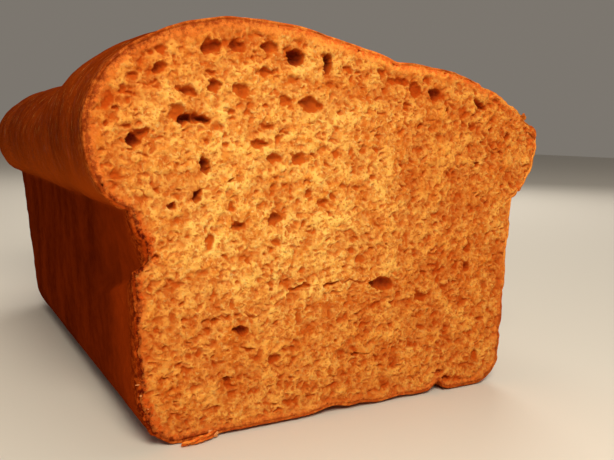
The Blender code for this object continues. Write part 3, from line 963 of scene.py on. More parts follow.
@dataclass
class Crumb:
    """The open foam of the cut face, a slab that fills the crust's recess."""

    relief: Relief
    outline: CutOutline
    grid: float = 0.28 * MM
    edge_inset: float = 0.25 * MM
    edge_back: float = 0.12 * MM
    edge_blend: float = 0.4 * MM
    back: float = 10 * MM
    back_scale: float = 0.905
    triangles: int = 188_000
    # Painted shade: the crumb's lightest spot, the distances over which its colour darkens away from there,
    # and how uneven that is.
    lightest: Pair = (-22 * MM, 66 * MM)
    falloff_reach: Pair = (12 * MM, 58 * MM)
    uneven: Layers = ((16, 0.30, 61), (6, 0.20, 62))
    arch: float = 2.2
    arch_from: float = 112 * MM
    warp_x: Layers = ((2.6, 1.10, 41), (1.1, 0.55, 42))
    warp_z: Layers = ((2.6, 0.95, 43), (1.1, 0.50, 44))
    open_patches: Layers = ((8.5, 1.0, 45), (3.4, 0.6, 46))
    openness: Pair = (-0.55, 0.55)
    torn_grain: Triple = (2.5 * MM, 1.0, 1.8 * MM)
    torn: Pair = (0.25, 0.95)
    torn_by_falloff: float = 0.2
    sponge_grain: Triple = (1.2 * MM, 1.0, 1.0 * MM)
    sponge: Pair = (-0.2, 0.55)
    sponge_depth: float = 0.35
    gentle_x: Layers = ((1.9, 0.95, 47), (0.8, 0.35, 55))
    gentle_z: Layers = ((1.9, 0.85, 48), (0.8, 0.35, 56))
    broad_swell: Layers = ((9.0, 0.50, 49), (4.0, 0.50, 50))
    fine_swell: Layers = ((2.0, 0.27, 51), (1.0, 0.10, 52))
    rim: Layers = ((1.6, 0.45, 23), (0.8, 0.2, 24))
    rim_blend: Pair = (-0.35 * MM, 0.45 * MM)
    closed_by_crust: float = 0.85
    calmed_by_crust: float = 0.6
    bubbles: tuple[Bubbles, ...] = (
        Bubbles((0.38 * MM, 0.70 * MM), 34, (0.60, 1.0), (-0.3, 0.1), 1.1, 0.7, 31),
        Bubbles((0.65 * MM, 1.20 * MM), 11, (0.40, 0.9), (-0.3, 0.0), 0.8, 0.8, 32),
        Bubbles((1.2 * MM, 2.1 * MM), 1.6, (0.35, 0.75), (-0.2, 0.0), 0.7, 1.0, 33),
    )
    holes: tuple[Hole, ...] = tuple(Hole(*row) for row in HOLES)
    creases: tuple[Crease, ...] = (
        Crease(((-18.4, 38.8), (-15.2, 39.4), (-12.6, 39.8)), 1.1, 1.5),
        Crease(((-12.6, 39.8), (-7.3, 39.0)), 0.6, 0.5),
        Crease(((-3.3, 39.8), (1.5, 39.9), (6.2, 38.8)), 1.1, 1.0),
        Crease(((-0.6, 18.0), (3.4, 17.4), (8.6, 16.6)), 0.9, 0.9),
        Crease(((-7.5, 38.9), (-5.0, 39.3), (-3.3, 39.6)), 1.3, 1.8),
        Crease(((-64.1, 68.1), (-62.6, 67.6), (-60.6, 67.3), (-60.1, 65.6), (-59.4, 63.8)), 0.7, 0.7),
        Crease(((-61.3, 47.2), (-59.8, 49.1), (-58.2, 50.5), (-56.2, 51.0)), 1.0, 1.6),
        Crease(((66.1, 87.9), (68.6, 85.1), (69.8, 81.8), (69.7, 77.8)), 0.9, 0.9),
        Crease(((-71.9, 67.8), (-69.8, 66.1), (-67.5, 64.6), (-64.6, 63.3)), 0.6, 0.4),
        Crease(((-71.0, 69.2), (-68.9, 67.0), (-66.0, 65.2), (-62.6, 63.6)), 0.6, 0.5),
        Crease(((-73.0, 77.2), (-72.6, 75.8), (-72.0, 74.1)), 0.7, 0.9),
        Crease(((-32.3, 48.8), (-31.3, 46.0), (-29.5, 44.0)), 0.8, 0.8),
        Crease(((-61.9, 92.7), (-60.4, 93.5), (-58.9, 93.1), (-57.0, 94.2)), 0.7, 0.8),
    )

    def inside(self, edge: Array, across: Array, up: Array) -> Array:
        """Which places lie inside an edge, by counting the edge's crossings below each.

        Args:
            edge: the edge's places in order.
            across: places across the cut face.
            up: their heights.

        Returns:
            A mask of the places.
        """
        crossings = np.zeros(len(across), int)
        for (x0, z0), (x1, z1) in zip(edge, np.roll(edge, -1, axis=0)):
            if x0 == x1:
                continue
            between = (across >= min(x0, x1)) & (across < max(x0, x1))
            height = z0 + (across[between] - x0) / (x1 - x0) * (z1 - z0)
            crossings[between] += height < up[between]
        return crossings % 2 == 1

    def foam(self, points: Array, columns: int, rows: int) -> Array:
        """How deep the foam is open.

        Args:
            points: the places of a grid.
            columns: the places along each of its rows.
            rows: its rows.

        Returns:
            The depth at each place.
        """
        across, up = points[:, 0], points[:, 2]
        maps = (
            across + layered(points, self.warp_x) * MM,
            up + layered(points, self.warp_z) * MM,
            smooth_step(layered(points, self.open_patches), *self.openness),
            -2 * self.arch * across * np.clip(up / self.arch_from, 0, 1),
        )
        cell = (np.ptp(across) / (columns - 1), np.ptp(up) / (rows - 1))
        field = FoamField(rows, columns, cell, *(values.reshape(rows, columns) for values in maps))
        deep = np.zeros((rows, columns))
        for kind in self.bubbles:
            kind.sink(deep, field)
        warped = on_face(*maps[:2])
        # The painted light falloff also changes how the foam is torn.
        dense = self.light_falloff(points)
        torn = smooth_step(lumps(warped, self.torn_grain, 53) + self.torn_by_falloff * dense, *self.torn)
        sponge = smooth_step(lumps(warped, self.sponge_grain, 54), *self.sponge) * self.sponge_depth
        deep = np.maximum(deep.ravel(), torn * (1.0 - self.torn_by_falloff * dense) * MM) + sponge * MM
        gentle_x = across + layered(points, self.gentle_x) * MM
        gentle_z = up + layered(points, self.gentle_z) * MM
        for opening in self.holes + self.creases:
            deep = np.maximum(deep, opening.deep(gentle_x, gentle_z))
        return deep

    def build(self) -> Piece:
        """Cuts a fine grid to the outline, sinks the foam into it, and gives it its thickness.

        Returns:
            The crumb.
        """
        edge = self.outline.points + self.outline.inward * self.edge_inset
        low, high = edge.min(axis=0), edge.max(axis=0)
        columns, rows = (int(count) + 1 for count in np.ceil((high - low) / self.grid))
        piece, flat = new_grid("crumb", columns, rows)
        points = on_face(*(low + flat * (high - low)).T)
        place_points(piece, points)
        outside = ~self.inside(edge, points[:, 0], points[:, 2])
        deep = self.foam(points, columns, rows)[~outside]
        select_vertices(piece, outside)
        bpy.ops.mesh.delete(type="VERT")
        bpy.ops.object.mode_set(mode="OBJECT")
        self.fit_edge(piece, edge)
        points = mesh_points(piece)
        across, up = points[:, 0], points[:, 2]
        distance, crust = self.crust_share(across, up)
        calm = 1.0 - self.calmed_by_crust * crust
        swell = (layered(points, self.broad_swell) + layered(points, self.fine_swell)) * MM
        foam = deep * (1.0 - self.closed_by_crust * crust) + swell * calm
        at_edge = fade(distance, self.edge_inset, self.edge_inset + self.edge_blend)
        points[:, 1] = self.relief.knife(across, up) + mix(foam, self.edge_back, at_edge)
        place_points(piece, points)
        self.thin(piece)
        self.dress(piece)
        return piece

    def crust_share(self, across: Array, up: Array) -> tuple[Array, Array]:
        """Tells crust from crumb.

        Args:
            across: places across the cut face.
            up: their heights.

        Returns:
            How far each is from the outline, and whether it is crust, 1, or crumb, 0.
        """
        distance, index = self.outline.nearest(np.column_stack((across, up)))
        thick = self.outline.crust(self.outline.dense)[index]
        spots = on_face(across, up)
        ragged = sum(lumps(spots, grain * MM, field) * size * MM for grain, size, field in self.rim)
        return distance, fade(distance + ragged - thick, *self.rim_blend)

    def dress(self, piece: Piece) -> None:
        """Closes the slab, and stores what its material reads.

        Args:
            piece: the crumb's front.
        """
        points = mesh_points(piece)
        across, up = points[:, 0], points[:, 2]
        distance, crust = self.crust_share(across, up)
        depth = points[:, 1] - self.relief.knife(across, up)
        edge = open_edges(piece)
        fresh, old = draw_out(piece, edge)
        points = mesh_points(piece)
        back = self.outline.shrunk(points[edge][old][:, [0, 2]], self.back_scale)
        points[fresh] = np.column_stack((back[:, 0], np.full(len(back), self.back), back[:, 1]))
        place_points(piece, points)
        cap_off(piece, fresh)
        for name, values in (("pore", depth / MM), ("inset", distance / MM), ("crust", crust)):
            set_attribute(piece, name, np.append(values, np.zeros(len(fresh))))
        self.outline.colour_marks(piece, points[:, [0, 2]])
        # Painted shade: how far the light has fallen off, away from the crumb's lightest spot.
        set_attribute(piece, "dense", self.light_falloff(points))

    def light_falloff(self, points: Array) -> Array:
        """The painted light falloff at points: 0 at the crumb's lightest spot, and 1 far from there; it
        darkens the colour as painted shade, and it also changes how the foam is torn.
        """
        away = np.hypot(points[:, 0] - self.lightest[0], points[:, 2] - self.lightest[1])
        return np.clip(smooth_step(away, *self.falloff_reach) + layered(points * (1, 0, 1), self.uneven), 0, 1)

    def fit_edge(self, piece: Piece, edge: Array) -> None:
        """Moves the stepped edge of the cut grid out to the outline.

        Args:
            piece: the cut grid.
            edge: the edge's places in order.
        """
        dense = finer(edge)
        tree = tree_of(on_face(*dense.T))
        points = mesh_points(piece)
        for i in open_edges(piece):
            points[i, [0, 2]] = dense[tree.find(points[i])[1]]
        place_points(piece, points)

    def thin(self, piece: Piece) -> None:
        """Takes out the triangles that show no form.

        Args:
            piece: the crumb's front.
        """
        select_only(piece)
        bpy.ops.object.modifier_add(type="DECIMATE")
        decimate = piece.modifiers[-1]
        decimate.ratio = min(1.0, self.triangles / (2 * len(piece.data.polygons)))
        bpy.ops.object.modifier_apply(modifier=decimate.name)


def unite(name: str, parts: list[Piece]) -> Piece:
    """Joins small meshes into one piece.

    Args:
        name: the piece's name.
        parts: the meshes.

    Returns:
        The piece.
    """
    select_only(parts[0])
    for part in parts:
        part.select_set(True)
    bpy.ops.object.join()
    return rename(parts[0], name)


@dataclass(frozen=True)
class Flake:
    """A scrap of crust that stands off: its root and tip, its width from side to side, and its curl.

    All are X, Y and Z in millimetres, with Y from the cut.
    """

    root: Triple
    tip: Triple
    width: Triple
    curl: Triple
    taper: float = 0.45
    crinkle: Layers = ((1.3, 1.0, 71), (0.6, 0.6, 74))
    crinkle_height: float = 0.4
    clearance: float = 0.42 * MM

    def sheet(self, along: Array, across: Array) -> Array:
        """The points of its sheet.

        Args:
            along: shares of the way from its root to its tip.
            across: shares of the way from side to side.

        Returns:
            Rows of X, Y and Z.
        """
        root, tip, width, curl = (np.array(row) for row in (self.root, self.tip, self.width, self.curl))
        points = mix(root, tip, along) + width * (across - 0.5) * (1.0 - self.taper * along**3)
        points = (points + curl * 4 * along * (1.0 - along)) * MM
        points += layered(points, self.crinkle)[:, None] * self.crinkle_height * MM
        points[:, 2] = np.maximum(points[:, 2], self.clearance)
        return points


@dataclass(frozen=True)
class Flakes:
    """Curled scraps of torn crust at the right shoulder, and the flap of bottom crust on the left."""

    thickness: float = 0.7 * MM
    columns: int = 14
    rows: int = 10
    flakes: tuple[Flake, ...] = (
        Flake((65.6, 0.9, 88.0), (67.6, 0.7, 90.0), (1.9, 0.4, -1.9), (0.3, -0.5, 0.2)),
        Flake((69.0, 0.8, 85.6), (73.0, 0.6, 82.4), (1.6, 0.6, 2.2), (0.6, -0.5, 0.5)),
        Flake((70.6, 0.8, 81.6), (72.7, 0.6, 78.4), (1.4, 0.5, 1.8), (0.5, -0.4, 0.2)),
        Flake((65.8, 0.8, 67.2), (67.4, 0.6, 65.0), (1.6, 0.5, 1.0), (0.3, -0.3, -0.2)),
        Flake((-40.5, 0.4, 1.6), (-51.4, -2.0, 1.0), (0.4, 2.2, -1.9), (0.0, -1.2, 0.2)),
        Flake((-40.8, 0.6, 0.9), (-50.2, -1.7, 0.6), (0.5, 1.8, -0.6), (0.0, -1.1, 0.0)),
    )

    def build(self) -> Piece:
        """Shapes each flake, and joins them."""
        return unite("flakes", [self.shape(flake) for flake in self.flakes])

    def shape(self, flake: Flake) -> Piece:
        """Bends a small grid, and gives it its thickness.

        Args:
            flake: the flake's sizes.

        Returns:
            Its mesh.
        """
        piece, share = new_grid("flake", self.columns, self.rows)
        place_points(piece, flake.sheet(share[:, :1], share[:, 1:]))
        select_only(piece)
        for kind in ("SOLIDIFY", "SUBSURF"):
            bpy.ops.object.modifier_add(type=kind)
        piece.modifiers[0].thickness, piece.modifiers[0].offset = self.thickness, 0.0
        for modifier in list(piece.modifiers):
            bpy.ops.object.modifier_apply(modifier=modifier.name)
        set_attribute(piece, "near", np.ones(len(piece.data.vertices)))
        return piece


@dataclass(frozen=True)
class CrumbsAndPaintedGlints:
    """Pale crumbs that cling to the crust, and pale specks at its lower left corner that are painted
    highlight standing for glints: their middles and sizes, X, Y and Z in millimetres.
    """

    rough: Layers = ((0.35, 0.45, 72), (0.15, 0.2, 73))
    crumbs: tuple[tuple[Triple, Triple], ...] = (
        ((-41.2, -0.2, 1.2), (2.0, 1.6, 1.7)),
        ((-42.6, -0.1, 2.0), (1.3, 0.9, 1.0)),
        ((-32.8, 1.2, 110.9), (2.4, 1.4, 0.9)),
        # Painted highlight: three pale specks at the lower left corner stand for glints on the crust.
        ((-62.3, -0.1, 18.2), (1.1, 0.4, 0.32)),
        ((-61.4, -0.1, 15.2), (0.8, 0.4, 0.36)),
        ((-59.5, -0.1, 11.4), (0.6, 0.3, 0.3)),
    )

    def build(self) -> Piece:
        """Shapes each crumb, and joins them."""
        return unite("crumbs_and_painted_glints", [self.shape(middle, size) for middle, size in self.crumbs])

    def shape(self, middle: Triple, size: Triple) -> Piece:
        """Roughens a ball.

        Args:
            middle: where the crumb is.
            size: its size along each axis.

        Returns:
            Its mesh.
        """
        bpy.ops.object.select_all(action="DESELECT")
        bpy.ops.mesh.primitive_ico_sphere_add(subdivisions=4, radius=0.5)
        piece = bpy.context.object
        points = mesh_points(piece)
        rough = layered(points + middle, self.rough, 1.0, 1.0)
        place_points(piece, (points * rough[:, None] * size + middle) * MM)
        return piece


class NodeBench:
    """Lays out one material's nodes.

    BEND_SCALE is the scale of the noise that draws cells askew, as a share of the cells' own.
    """

    BEND_SCALE = 0.8

    def __init__(self, name: str) -> None:
        """Starts an empty material.

        Args:
            name: the material's name.
        """
        self.material = bpy.data.materials.new(name)
        self.material.use_nodes = True
        self.nodes = self.material.node_tree.nodes
        self.shader = self.nodes["Principled BSDF"]
        self.place = self.nodes.new("ShaderNodeTexCoord").outputs["Object"]

    def node(self, kind: str, inputs: dict[str | int, Feed], **options: str | bool) -> bpy.types.Node:
        """Adds a node.

        Args:
            kind: what follows ShaderNode in its type.
            inputs: what goes into its sockets, by their names or numbers.
            options: its own settings.

        Returns:
            The node.
        """
        node = self.nodes.new("ShaderNode" + kind)
        for name, value in options.items():
            setattr(node, name, value)
        for key, value in inputs.items():
            self.feed(node.inputs[key], value)
        return node

    def feed(self, socket: Socket, value: Feed) -> None:
        """Links a socket to another, or gives it a plain number or colour.

        Args:
            socket: the socket.
            value: what goes into it.
        """
        if isinstance(value, Socket):
            self.material.node_tree.links.new(value, socket)
        elif isinstance(value, tuple) and socket.type == "RGBA":
            socket.default_value = (*value, 1.0)
        else:
            socket.default_value = value

    def attribute(self, name: str) -> Socket:
        """A value that the mesh holds for each vertex."""
        return self.node("Attribute", {}, attribute_name=name).outputs["Fac"]

    def axis(self, name: str) -> Socket:
        """One of the coordinates, X, Y or Z."""
        return self.node("SeparateXYZ", {0: self.place}).outputs[name]

    def noise(self, grain: float, detail: float, roughness: float, stretch: Triple = (1, 1, 1)) -> Socket:
        """Smooth noise from 0 to 1.

        Args:
            grain: about the size of one lump.
            detail: how many finer layers it has.
            roughness: how strong they are.
            stretch: how much finer it is along each axis.

        Returns:
            The noise.
        """
        place = self.node("Mapping", {"Vector": self.place, "Scale": stretch}).outputs[0]
        inputs = {"Vector": place, "Scale": 1.0 / grain, "Detail": detail, "Roughness": roughness}
        return self.node("TexNoise", inputs).outputs["Fac"]

    def cells(self, grain: float, stray: float) -> Socket:
        """How far places are from the middles of uneven cells, 0 to about 1.

        Args:
            grain: about the size of one cell.
            stray: how far the cells are drawn askew.

        Returns:
            The distance.
        """
        bend = {"Vector": self.place, "Scale": self.BEND_SCALE / grain}
        wander = self.node("TexNoise", bend).outputs["Color"]
        inputs = {0: wander, 1: (stray, stray, stray), 2: self.place}
        askew = self.node("VectorMath", inputs, operation="MULTIPLY_ADD").outputs[0]
        return self.node("TexVoronoi", {"Vector": askew, "Scale": 1.0 / grain}).outputs["Distance"]

    def ramp(self, value: Socket, low: float, high: float) -> Socket:
        """A value drawn out to run from 0 at low to 1 at high."""
        inputs = {"Value": value, "From Min": low, "From Max": high}
        return self.node("MapRange", inputs, interpolation_type="SMOOTHSTEP").outputs["Result"]

    def math(self, kind: str, first: Feed, second: Feed) -> Socket:
        """Two values put together."""
        return self.node("Math", {0: first, 1: second}, operation=kind).outputs[0]

    def times(self, first: Feed, second: Feed) -> Socket:
        """The product of two values."""
        return self.math("MULTIPLY", first, second)

    def plus(self, first: Feed, second: Feed) -> Socket:
        """The sum of two values."""
        return self.math("ADD", first, second)

    def blend(self, share: Feed, first: Feed, second: Feed, kind: str = "MIX") -> Socket:
        """The colour a share of the way from the first to the second, or to their product."""
        inputs = {"Factor": share, 6: first, 7: second}
        return self.node("Mix", inputs, data_type="RGBA", blend_type=kind).outputs[2]

    def bump(self, height: Socket, distance: float, strength: float, below: Socket | None) -> Socket:
        """A bumpy normal.

        Args:
            height: the relief, 0 to 1.
            distance: its height.
            strength: how much of it shows.
            below: the normal that it is laid over, if there is one.

        Returns:
            The normal.
        """
        inputs = {"Height": height, "Distance": distance, "Strength": strength}
        if below is not None:
            inputs["Normal"] = below
        return self.node("Bump", inputs).outputs[0]

    def finish(self, inputs: dict[str, Feed]) -> bpy.types.Material:
        """Feeds the shader.

        Args:
            inputs: what goes into its sockets, by their names.

        Returns:
            The material.
        """
        for name, value in inputs.items():
            self.feed(self.shader.inputs[name], value)
        return self.material


@dataclass(frozen=True)
class Pattern:
    """Patches from noise: the grain in millimetres, the ends of its ramp, and how strong it is."""

    grain: float
    detail: float
    roughness: float
    low: float
    high: float
    share: float = 1.0
    stretch: Triple = (1, 1, 1)

    def lay(self, bench: NodeBench) -> Socket:
        """Adds the nodes.

        Args:
            bench: the material's nodes.

        Returns:
            The patches, from 0 to the pattern's share.
        """
        value = bench.noise(self.grain * MM, self.detail, self.roughness, self.stretch)
        value = bench.ramp(value, self.low, self.high)
        return value if self.share == 1.0 else bench.times(value, self.share)


@dataclass(frozen=True)
class Ripple:
    """Fine relief from noise: its grain and height in millimetres, and how much of it shows."""

    grain: float
    detail: float
    roughness: float
    height: float
    strength: float
    stretch: Triple = (1, 1, 1)

    def lay(self, bench: NodeBench, below: Socket | None = None) -> Socket:
        """A bumpy normal, over the one below it."""
        value = bench.noise(self.grain * MM, self.detail, self.roughness, self.stretch)
        return bench.bump(value, self.height * MM, self.strength, below)


@dataclass(frozen=True)
class Pits:
    """Small pores from cells, with their grain, stray and depth in millimetres, and their ramp's ends; share
    is how much painted shade their middles take.
    """

    grain: float
    stray: float
    low: float
    high: float
    share: float
    depth: float
    strength: float

    def lay(self, bench: NodeBench) -> Socket:
        """The pores, 0 between them and 1 at their middles."""
        return bench.ramp(bench.cells(self.grain * MM, self.stray * MM), self.low, self.high)


def srgb(red: int, green: int, blue: int) -> Triple:
    """A screen colour, 0 to 255, as the light that it stands for."""
    shares = (value / 255 for value in (red, green, blue))
    return tuple(s / 12.92 if s <= 0.04045 else ((s + 0.055) / 1.055) ** 2.4 for s in shares)


@dataclass(frozen=True)
class CrustColours:
    """The crust's browns, shared by its skin and by its cut edge. The walls' dark brown is both their mottle
    and painted shade further back from the cut.
    """

    wall: Triple = srgb(162, 56, 9)
    # Mottled dark brown of the walls, also used as painted shade that darkens them further back from the
    # cut.
    wall_mottle_and_shade: Triple = srgb(84, 22, 4)
    tuck: Triple = srgb(210, 92, 20)
    crown: Triple = srgb(148, 56, 9)
    crown_dark: Triple = srgb(96, 28, 4)
    # Painted highlight: pale streaks on the crown that stand for glints.
    painted_glint: Triple = srgb(222, 150, 78)
    edge_outer: Triple = srgb(229, 106, 38)
    edge_inner: Triple = srgb(246, 162, 70)
    edge_outer_dark: Triple = srgb(92, 21, 3)
    edge_inner_dark: Triple = srgb(200, 84, 22)
    grain: Pattern = Pattern(1.3, 4, 0.7, 0.38, 0.62)
    lumpy: Pattern = Pattern(2.2, 4, 0.65, 0.36, 0.64, 0.45)
    dark_share: float = 0.9

    def cut_edge(self, bench: NodeBench, inwards: Feed) -> Socket:
        """The colour of the crust's cut edge.

        Args:
            bench: the material's nodes.
            inwards: 0 at the edge's outside and 1 at its inside.

        Returns:
            The colour.
        """
        grain = bench.math("SUBTRACT", self.grain.lay(bench), 0.5)
        inwards = bench.plus(bench.math("MAXIMUM", inwards, bench.attribute("pale")), grain)
        light = bench.blend(inwards, self.edge_outer, self.edge_inner)
        dark = bench.blend(inwards, self.edge_outer_dark, self.edge_inner_dark)
        share = bench.times(bench.attribute("dark"), bench.plus(self.lumpy.lay(bench), self.dark_share))
        return bench.blend(share, light, dark)


@dataclass(frozen=True)
class CrumbFinish:
    """Soft, pale brown foam, with painted shade down in its pores and pits, painted shade where the light
    falls off away from its lightest spot, painted highlight on its pale flecks, and deeper in colour next to
    the crust.

    shallow and deep_shade_depths are depths, and rind_ends and edge_ends distances from the outline, in
    millimetres.
    """

    wall: Triple = srgb(253, 207, 110)
    wall_dull: Triple = srgb(224, 142, 54)
    # Painted shade: the darker orange down in the pores, pits and spots.
    pore: Triple = srgb(196, 94, 24)
    # Painted shade: darker still deep down in the pores.
    deep: Triple = srgb(146, 58, 18)
    rind: Triple = srgb(204, 100, 34)
    speck: Triple = srgb(156, 62, 12)
    # Painted highlight: pale yellow flecks that stand for lit crests of the foam.
    painted_highlight: Triple = srgb(255, 228, 140)
    # Painted shade: multiplied in where the light falls off, away from the crumb's lightest spot.
    painted_falloff_tint: Triple = (0.82, 0.58, 0.42)
    crust: CrustColours = CrustColours()
    patch: Pattern = Pattern(9, 4, 0.5, 0.36, 0.66, 0.4)
    mottle: Pattern = Pattern(2.4, 4, 0.6, 0.40, 0.62, 0.6)
    # Pits whose middles take painted shade, and which are bumped.
    pits: tuple[Pits, ...] = (
        Pits(1.6, 1.4, 0.42, 0.08, 0.5, 0.25, 0.6),
        Pits(0.95, 0.9, 0.44, 0.12, 0.6, 0.08, 0.5),
    )
    # Painted shade: patches of the pore colour, for small pits.
    spots: Pattern = Pattern(2.1, 2, 0.4, 0.55, 0.66, 0.6)
    specks: Pattern = Pattern(1.0, 2, 0.6, 0.60, 0.68, 0.35)
    # Painted highlight: where the pale flecks lie.
    painted_highlights: Pattern = Pattern(1.0, 3, 0.65, 0.54, 0.68, 0.6)
    # Painted shade: the depths, in millimetres, over which the pore colour and then the deep colour darken
    # the crumb.
    pore_shade_depths: Pair = (-0.3, 1.1)
    deep_shade_depths: Pair = (0.9, 3.4)
    rind_noise: Triple = (4 * MM, 3, 0.5)
    rind_wander: float = 7.0
    rind_ends: Pair = (7.0, 3.6)
    rind_share: float = 0.65
    edge_ends: Pair = (0.2, 2.1)
    ragged: Pattern = Pattern(1.7, 3, 0.6, 0.36, 0.64)
    ragged_least: float = 0.5
    fuzz: Ripple = Ripple(1.1, 4, 0.75, 0.30, 0.6)
    roughness: float = 0.85
    gloss: float = 0.04
    glow: float = 0.30
    glow_reach: Triple = (1.0, 0.45, 0.15)
    glow_scale: float = 0.9 * MM

    def make(self) -> bpy.types.Material:
        """Builds the material.

        Returns:
            The material.
        """
        bench = NodeBench("crumb")
        pore, inset = bench.attribute("pore"), bench.attribute("inset")
        hollows = [pits.lay(bench) for pits in self.pits]
        # Painted shade: the pits, the spots and the depth down in the pores take the pore and deep colours.
        tones = [(bench.times(hollow, pits.share), self.pore) for hollow, pits in zip(hollows, self.pits)]
        tones += [
            (self.spots.lay(bench), self.pore),
            (self.specks.lay(bench), self.speck),
            # Painted highlight: the pale flecks.
            (self.painted_highlights.lay(bench), self.painted_highlight),
            (bench.ramp(pore, *self.pore_shade_depths), self.pore),
            (bench.ramp(pore, *self.deep_shade_depths), self.deep),
        ]
        dull = bench.plus(self.patch.lay(bench), self.mottle.lay(bench))
        colour = bench.blend(dull, self.wall, self.wall_dull)
        for share, tone in tones:
            colour = bench.blend(share, colour, tone)
        # Painted shade: darker and deeper in tone away from the crumb's lightest spot.
        colour = bench.blend(bench.attribute("dense"), colour, self.painted_falloff_tint, "MULTIPLY")
        wander = bench.times(bench.noise(*self.rind_noise), self.rind_wander)
        rind = bench.ramp(bench.plus(inset, wander), *self.rind_ends)
        colour = bench.blend(bench.times(rind, self.rind_share), colour, self.rind)
        ragged = bench.plus(self.ragged.lay(bench), self.ragged_least)
        edge = self.crust.cut_edge(bench, bench.ramp(inset, *self.edge_ends))
        colour = bench.blend(bench.times(bench.attribute("crust"), ragged), colour, edge)
        normal = None
        for hollow, pits in zip(hollows, self.pits):
            normal = bench.bump(hollow, -pits.depth * MM, pits.strength, normal)
        return bench.finish(
            {
                "Base Color": colour,
                "Roughness": self.roughness,
                "Specular IOR Level": self.gloss,
                "Subsurface Weight": self.glow,
                "Subsurface Radius": self.glow_reach,
                "Subsurface Scale": self.glow_scale,
                "Normal": self.fuzz.lay(bench, normal),
            }
        )


@dataclass(frozen=True)
class SpeckFinish:
    """Pale, dried-out crumb, on the loose crumbs and on the pale specks that stand for glints as painted
    highlight.
    """

    colour: Triple = srgb(228, 156, 88)
    shaded: Triple = srgb(190, 100, 40)
    shade: Pattern = Pattern(0.4, 3, 0.5, 0.4, 0.7)
    grain: Ripple = Ripple(0.4, 3, 0.5, 0.1, 0.6)
    roughness: float = 0.8

    def make(self) -> bpy.types.Material:
        """Builds the material.

        Returns:
            The material.
        """
        bench = NodeBench("speck")
        colour = bench.blend(self.shade.lay(bench), self.colour, self.shaded)
        normal = self.grain.lay(bench)
        return bench.finish({"Base Color": colour, "Roughness": self.roughness, "Normal": normal})


@dataclass(frozen=True)
class CrustFinish:
    """Baked crust: red-brown and mottled on the tin's walls, with painted shade that darkens them further
    back from the cut; smoother and glossier on the crown, with painted highlight in pale glint streaks
    there.
    """

    colours: CrustColours = CrustColours()
    mottle: Pattern = Pattern(3.2, 4, 0.6, 0.34, 0.68)
    mottle_share: float = 0.25
    broad: Pattern = Pattern(13, 3, 0.5, 0.32, 0.68, 0.45, (1, 1, 0.5))
    # Painted shade: the walls darken from the cut back to here.
    painted_shade_span: Pair = (-102 * MM, -60 * MM)
    painted_shade_share: float = 0.5
    patch_share: float = 0.6
    crown_shade: float = 0.15
    crown_from: Pair = (62 * MM, 84 * MM)
    tuck_from: Pair = (60 * MM, 68 * MM)
    tuck_share: float = 0.45
    # Painted highlight: where the pale glint streaks lie on the crown, and from which height up.
    painted_glint: Pattern = Pattern(3.0, 4, 0.7, 0.57, 0.72, 0.45, (0.8, 2.8, 0.5))
    painted_glint_from: Pair = (68 * MM, 84 * MM)
    streaks: Pattern = Pattern(4.5, 4, 0.65, 0.28, 0.62, 1.0, (0.5, 4.0, 0.5))
    near_inwards: float = 0.25
    glints: Pattern = Pattern(3.2, 4, 0.65, 0.56, 0.70, 0.35, (0.7, 4.0, 0.7))
    glint_roughness: float = 0.25
    gloss: float = 0.0
    roughness: Pair = (0.5, 0.2)
    ripples: tuple[Ripple, ...] = (
        Ripple(2.4, 4, 0.65, 0.55, 0.6),
        Ripple(5.0, 3, 0.6, 0.45, 0.5, (0.8, 4.0, 0.8)),
        Ripple(0.6, 2, 0.5, 0.15, 0.5),
    )

    def make(self) -> bpy.types.Material:
        """Builds the material.

        Returns:
            The material.
        """
        bench, colours = NodeBench("crust"), self.colours
        height, mottle = bench.axis("Z"), self.mottle.lay(bench)
        patch = bench.plus(bench.times(mottle, self.mottle_share), self.broad.lay(bench))
        # Painted shade: the walls darken further back from the cut, added to their mottle.
        behind = bench.times(bench.ramp(bench.axis("Y"), *self.painted_shade_span), self.painted_shade_share)
        shade = bench.plus(bench.times(patch, self.patch_share), behind)
        walls = bench.blend(shade, colours.wall, colours.wall_mottle_and_shade)
        tucked = bench.times(bench.ramp(height, *self.tuck_from), self.tuck_share)
        crown = bench.blend(bench.plus(patch, self.crown_shade), colours.crown, colours.crown_dark)
        on_crown = bench.ramp(height, *self.crown_from)
        colour = bench.blend(on_crown, bench.blend(tucked, walls, colours.tuck), crown)
        # Painted highlight: pale glint streaks laid into the crown's colour.
        painted_glint = bench.times(self.painted_glint.lay(bench), bench.ramp(height, *self.painted_glint_from))
        colour = bench.blend(painted_glint, colour, colours.painted_glint)
        near = bench.times(bench.attribute("near"), self.streaks.lay(bench))
        for share, inwards in ((near, self.near_inwards), (bench.attribute("cut"), 0.0)):
            colour = bench.blend(share, colour, colours.cut_edge(bench, inwards))
        normal = None
        for ripple in self.ripples:
            normal = ripple.lay(bench, normal)
        return bench.finish(
            {
                "Base Color": colour,
                "Roughness": bench.plus(bench.times(mottle, self.roughness[1]), self.roughness[0]),
                "Specular IOR Level": self.gloss,
                "Coat Weight": bench.times(self.glints.lay(bench), on_crown),
                "Coat Roughness": self.glint_roughness,
                "Normal": normal,
            }
        )


@dataclass(frozen=True)
class FloorFinish:
    """A plain pale floor."""

    colour: Triple = (0.70, 0.67, 0.62)
    roughness: float = 0.9

    def make(self) -> bpy.types.Material:
        """Builds the material."""
        return NodeBench("floor").finish({"Base Color": self.colour, "Roughness": self.roughness})


@dataclass(frozen=True)
class SoftLight:
    """One large, soft lamp: where it stands, its size, power and colour."""

    name: str
    place: Triple
    size: float
    power: float
    colour: Triple
    aim: Triple = (0.0, 0.0, 50 * MM)

    def make(self) -> None:
        """Adds the lamp, turned towards the middle of the loaf."""
        data = bpy.data.lights.new(self.name, "AREA")
        data.size = self.size
        data.energy = self.power
        data.color = self.colour
        lamp = bpy.data.objects.new(self.name, data)
        lamp.location = self.place
        lamp.rotation_euler = (Vector(self.aim) - Vector(self.place)).to_track_quat("-Z", "Y").to_euler()
        bpy.context.scene.collection.objects.link(lamp)


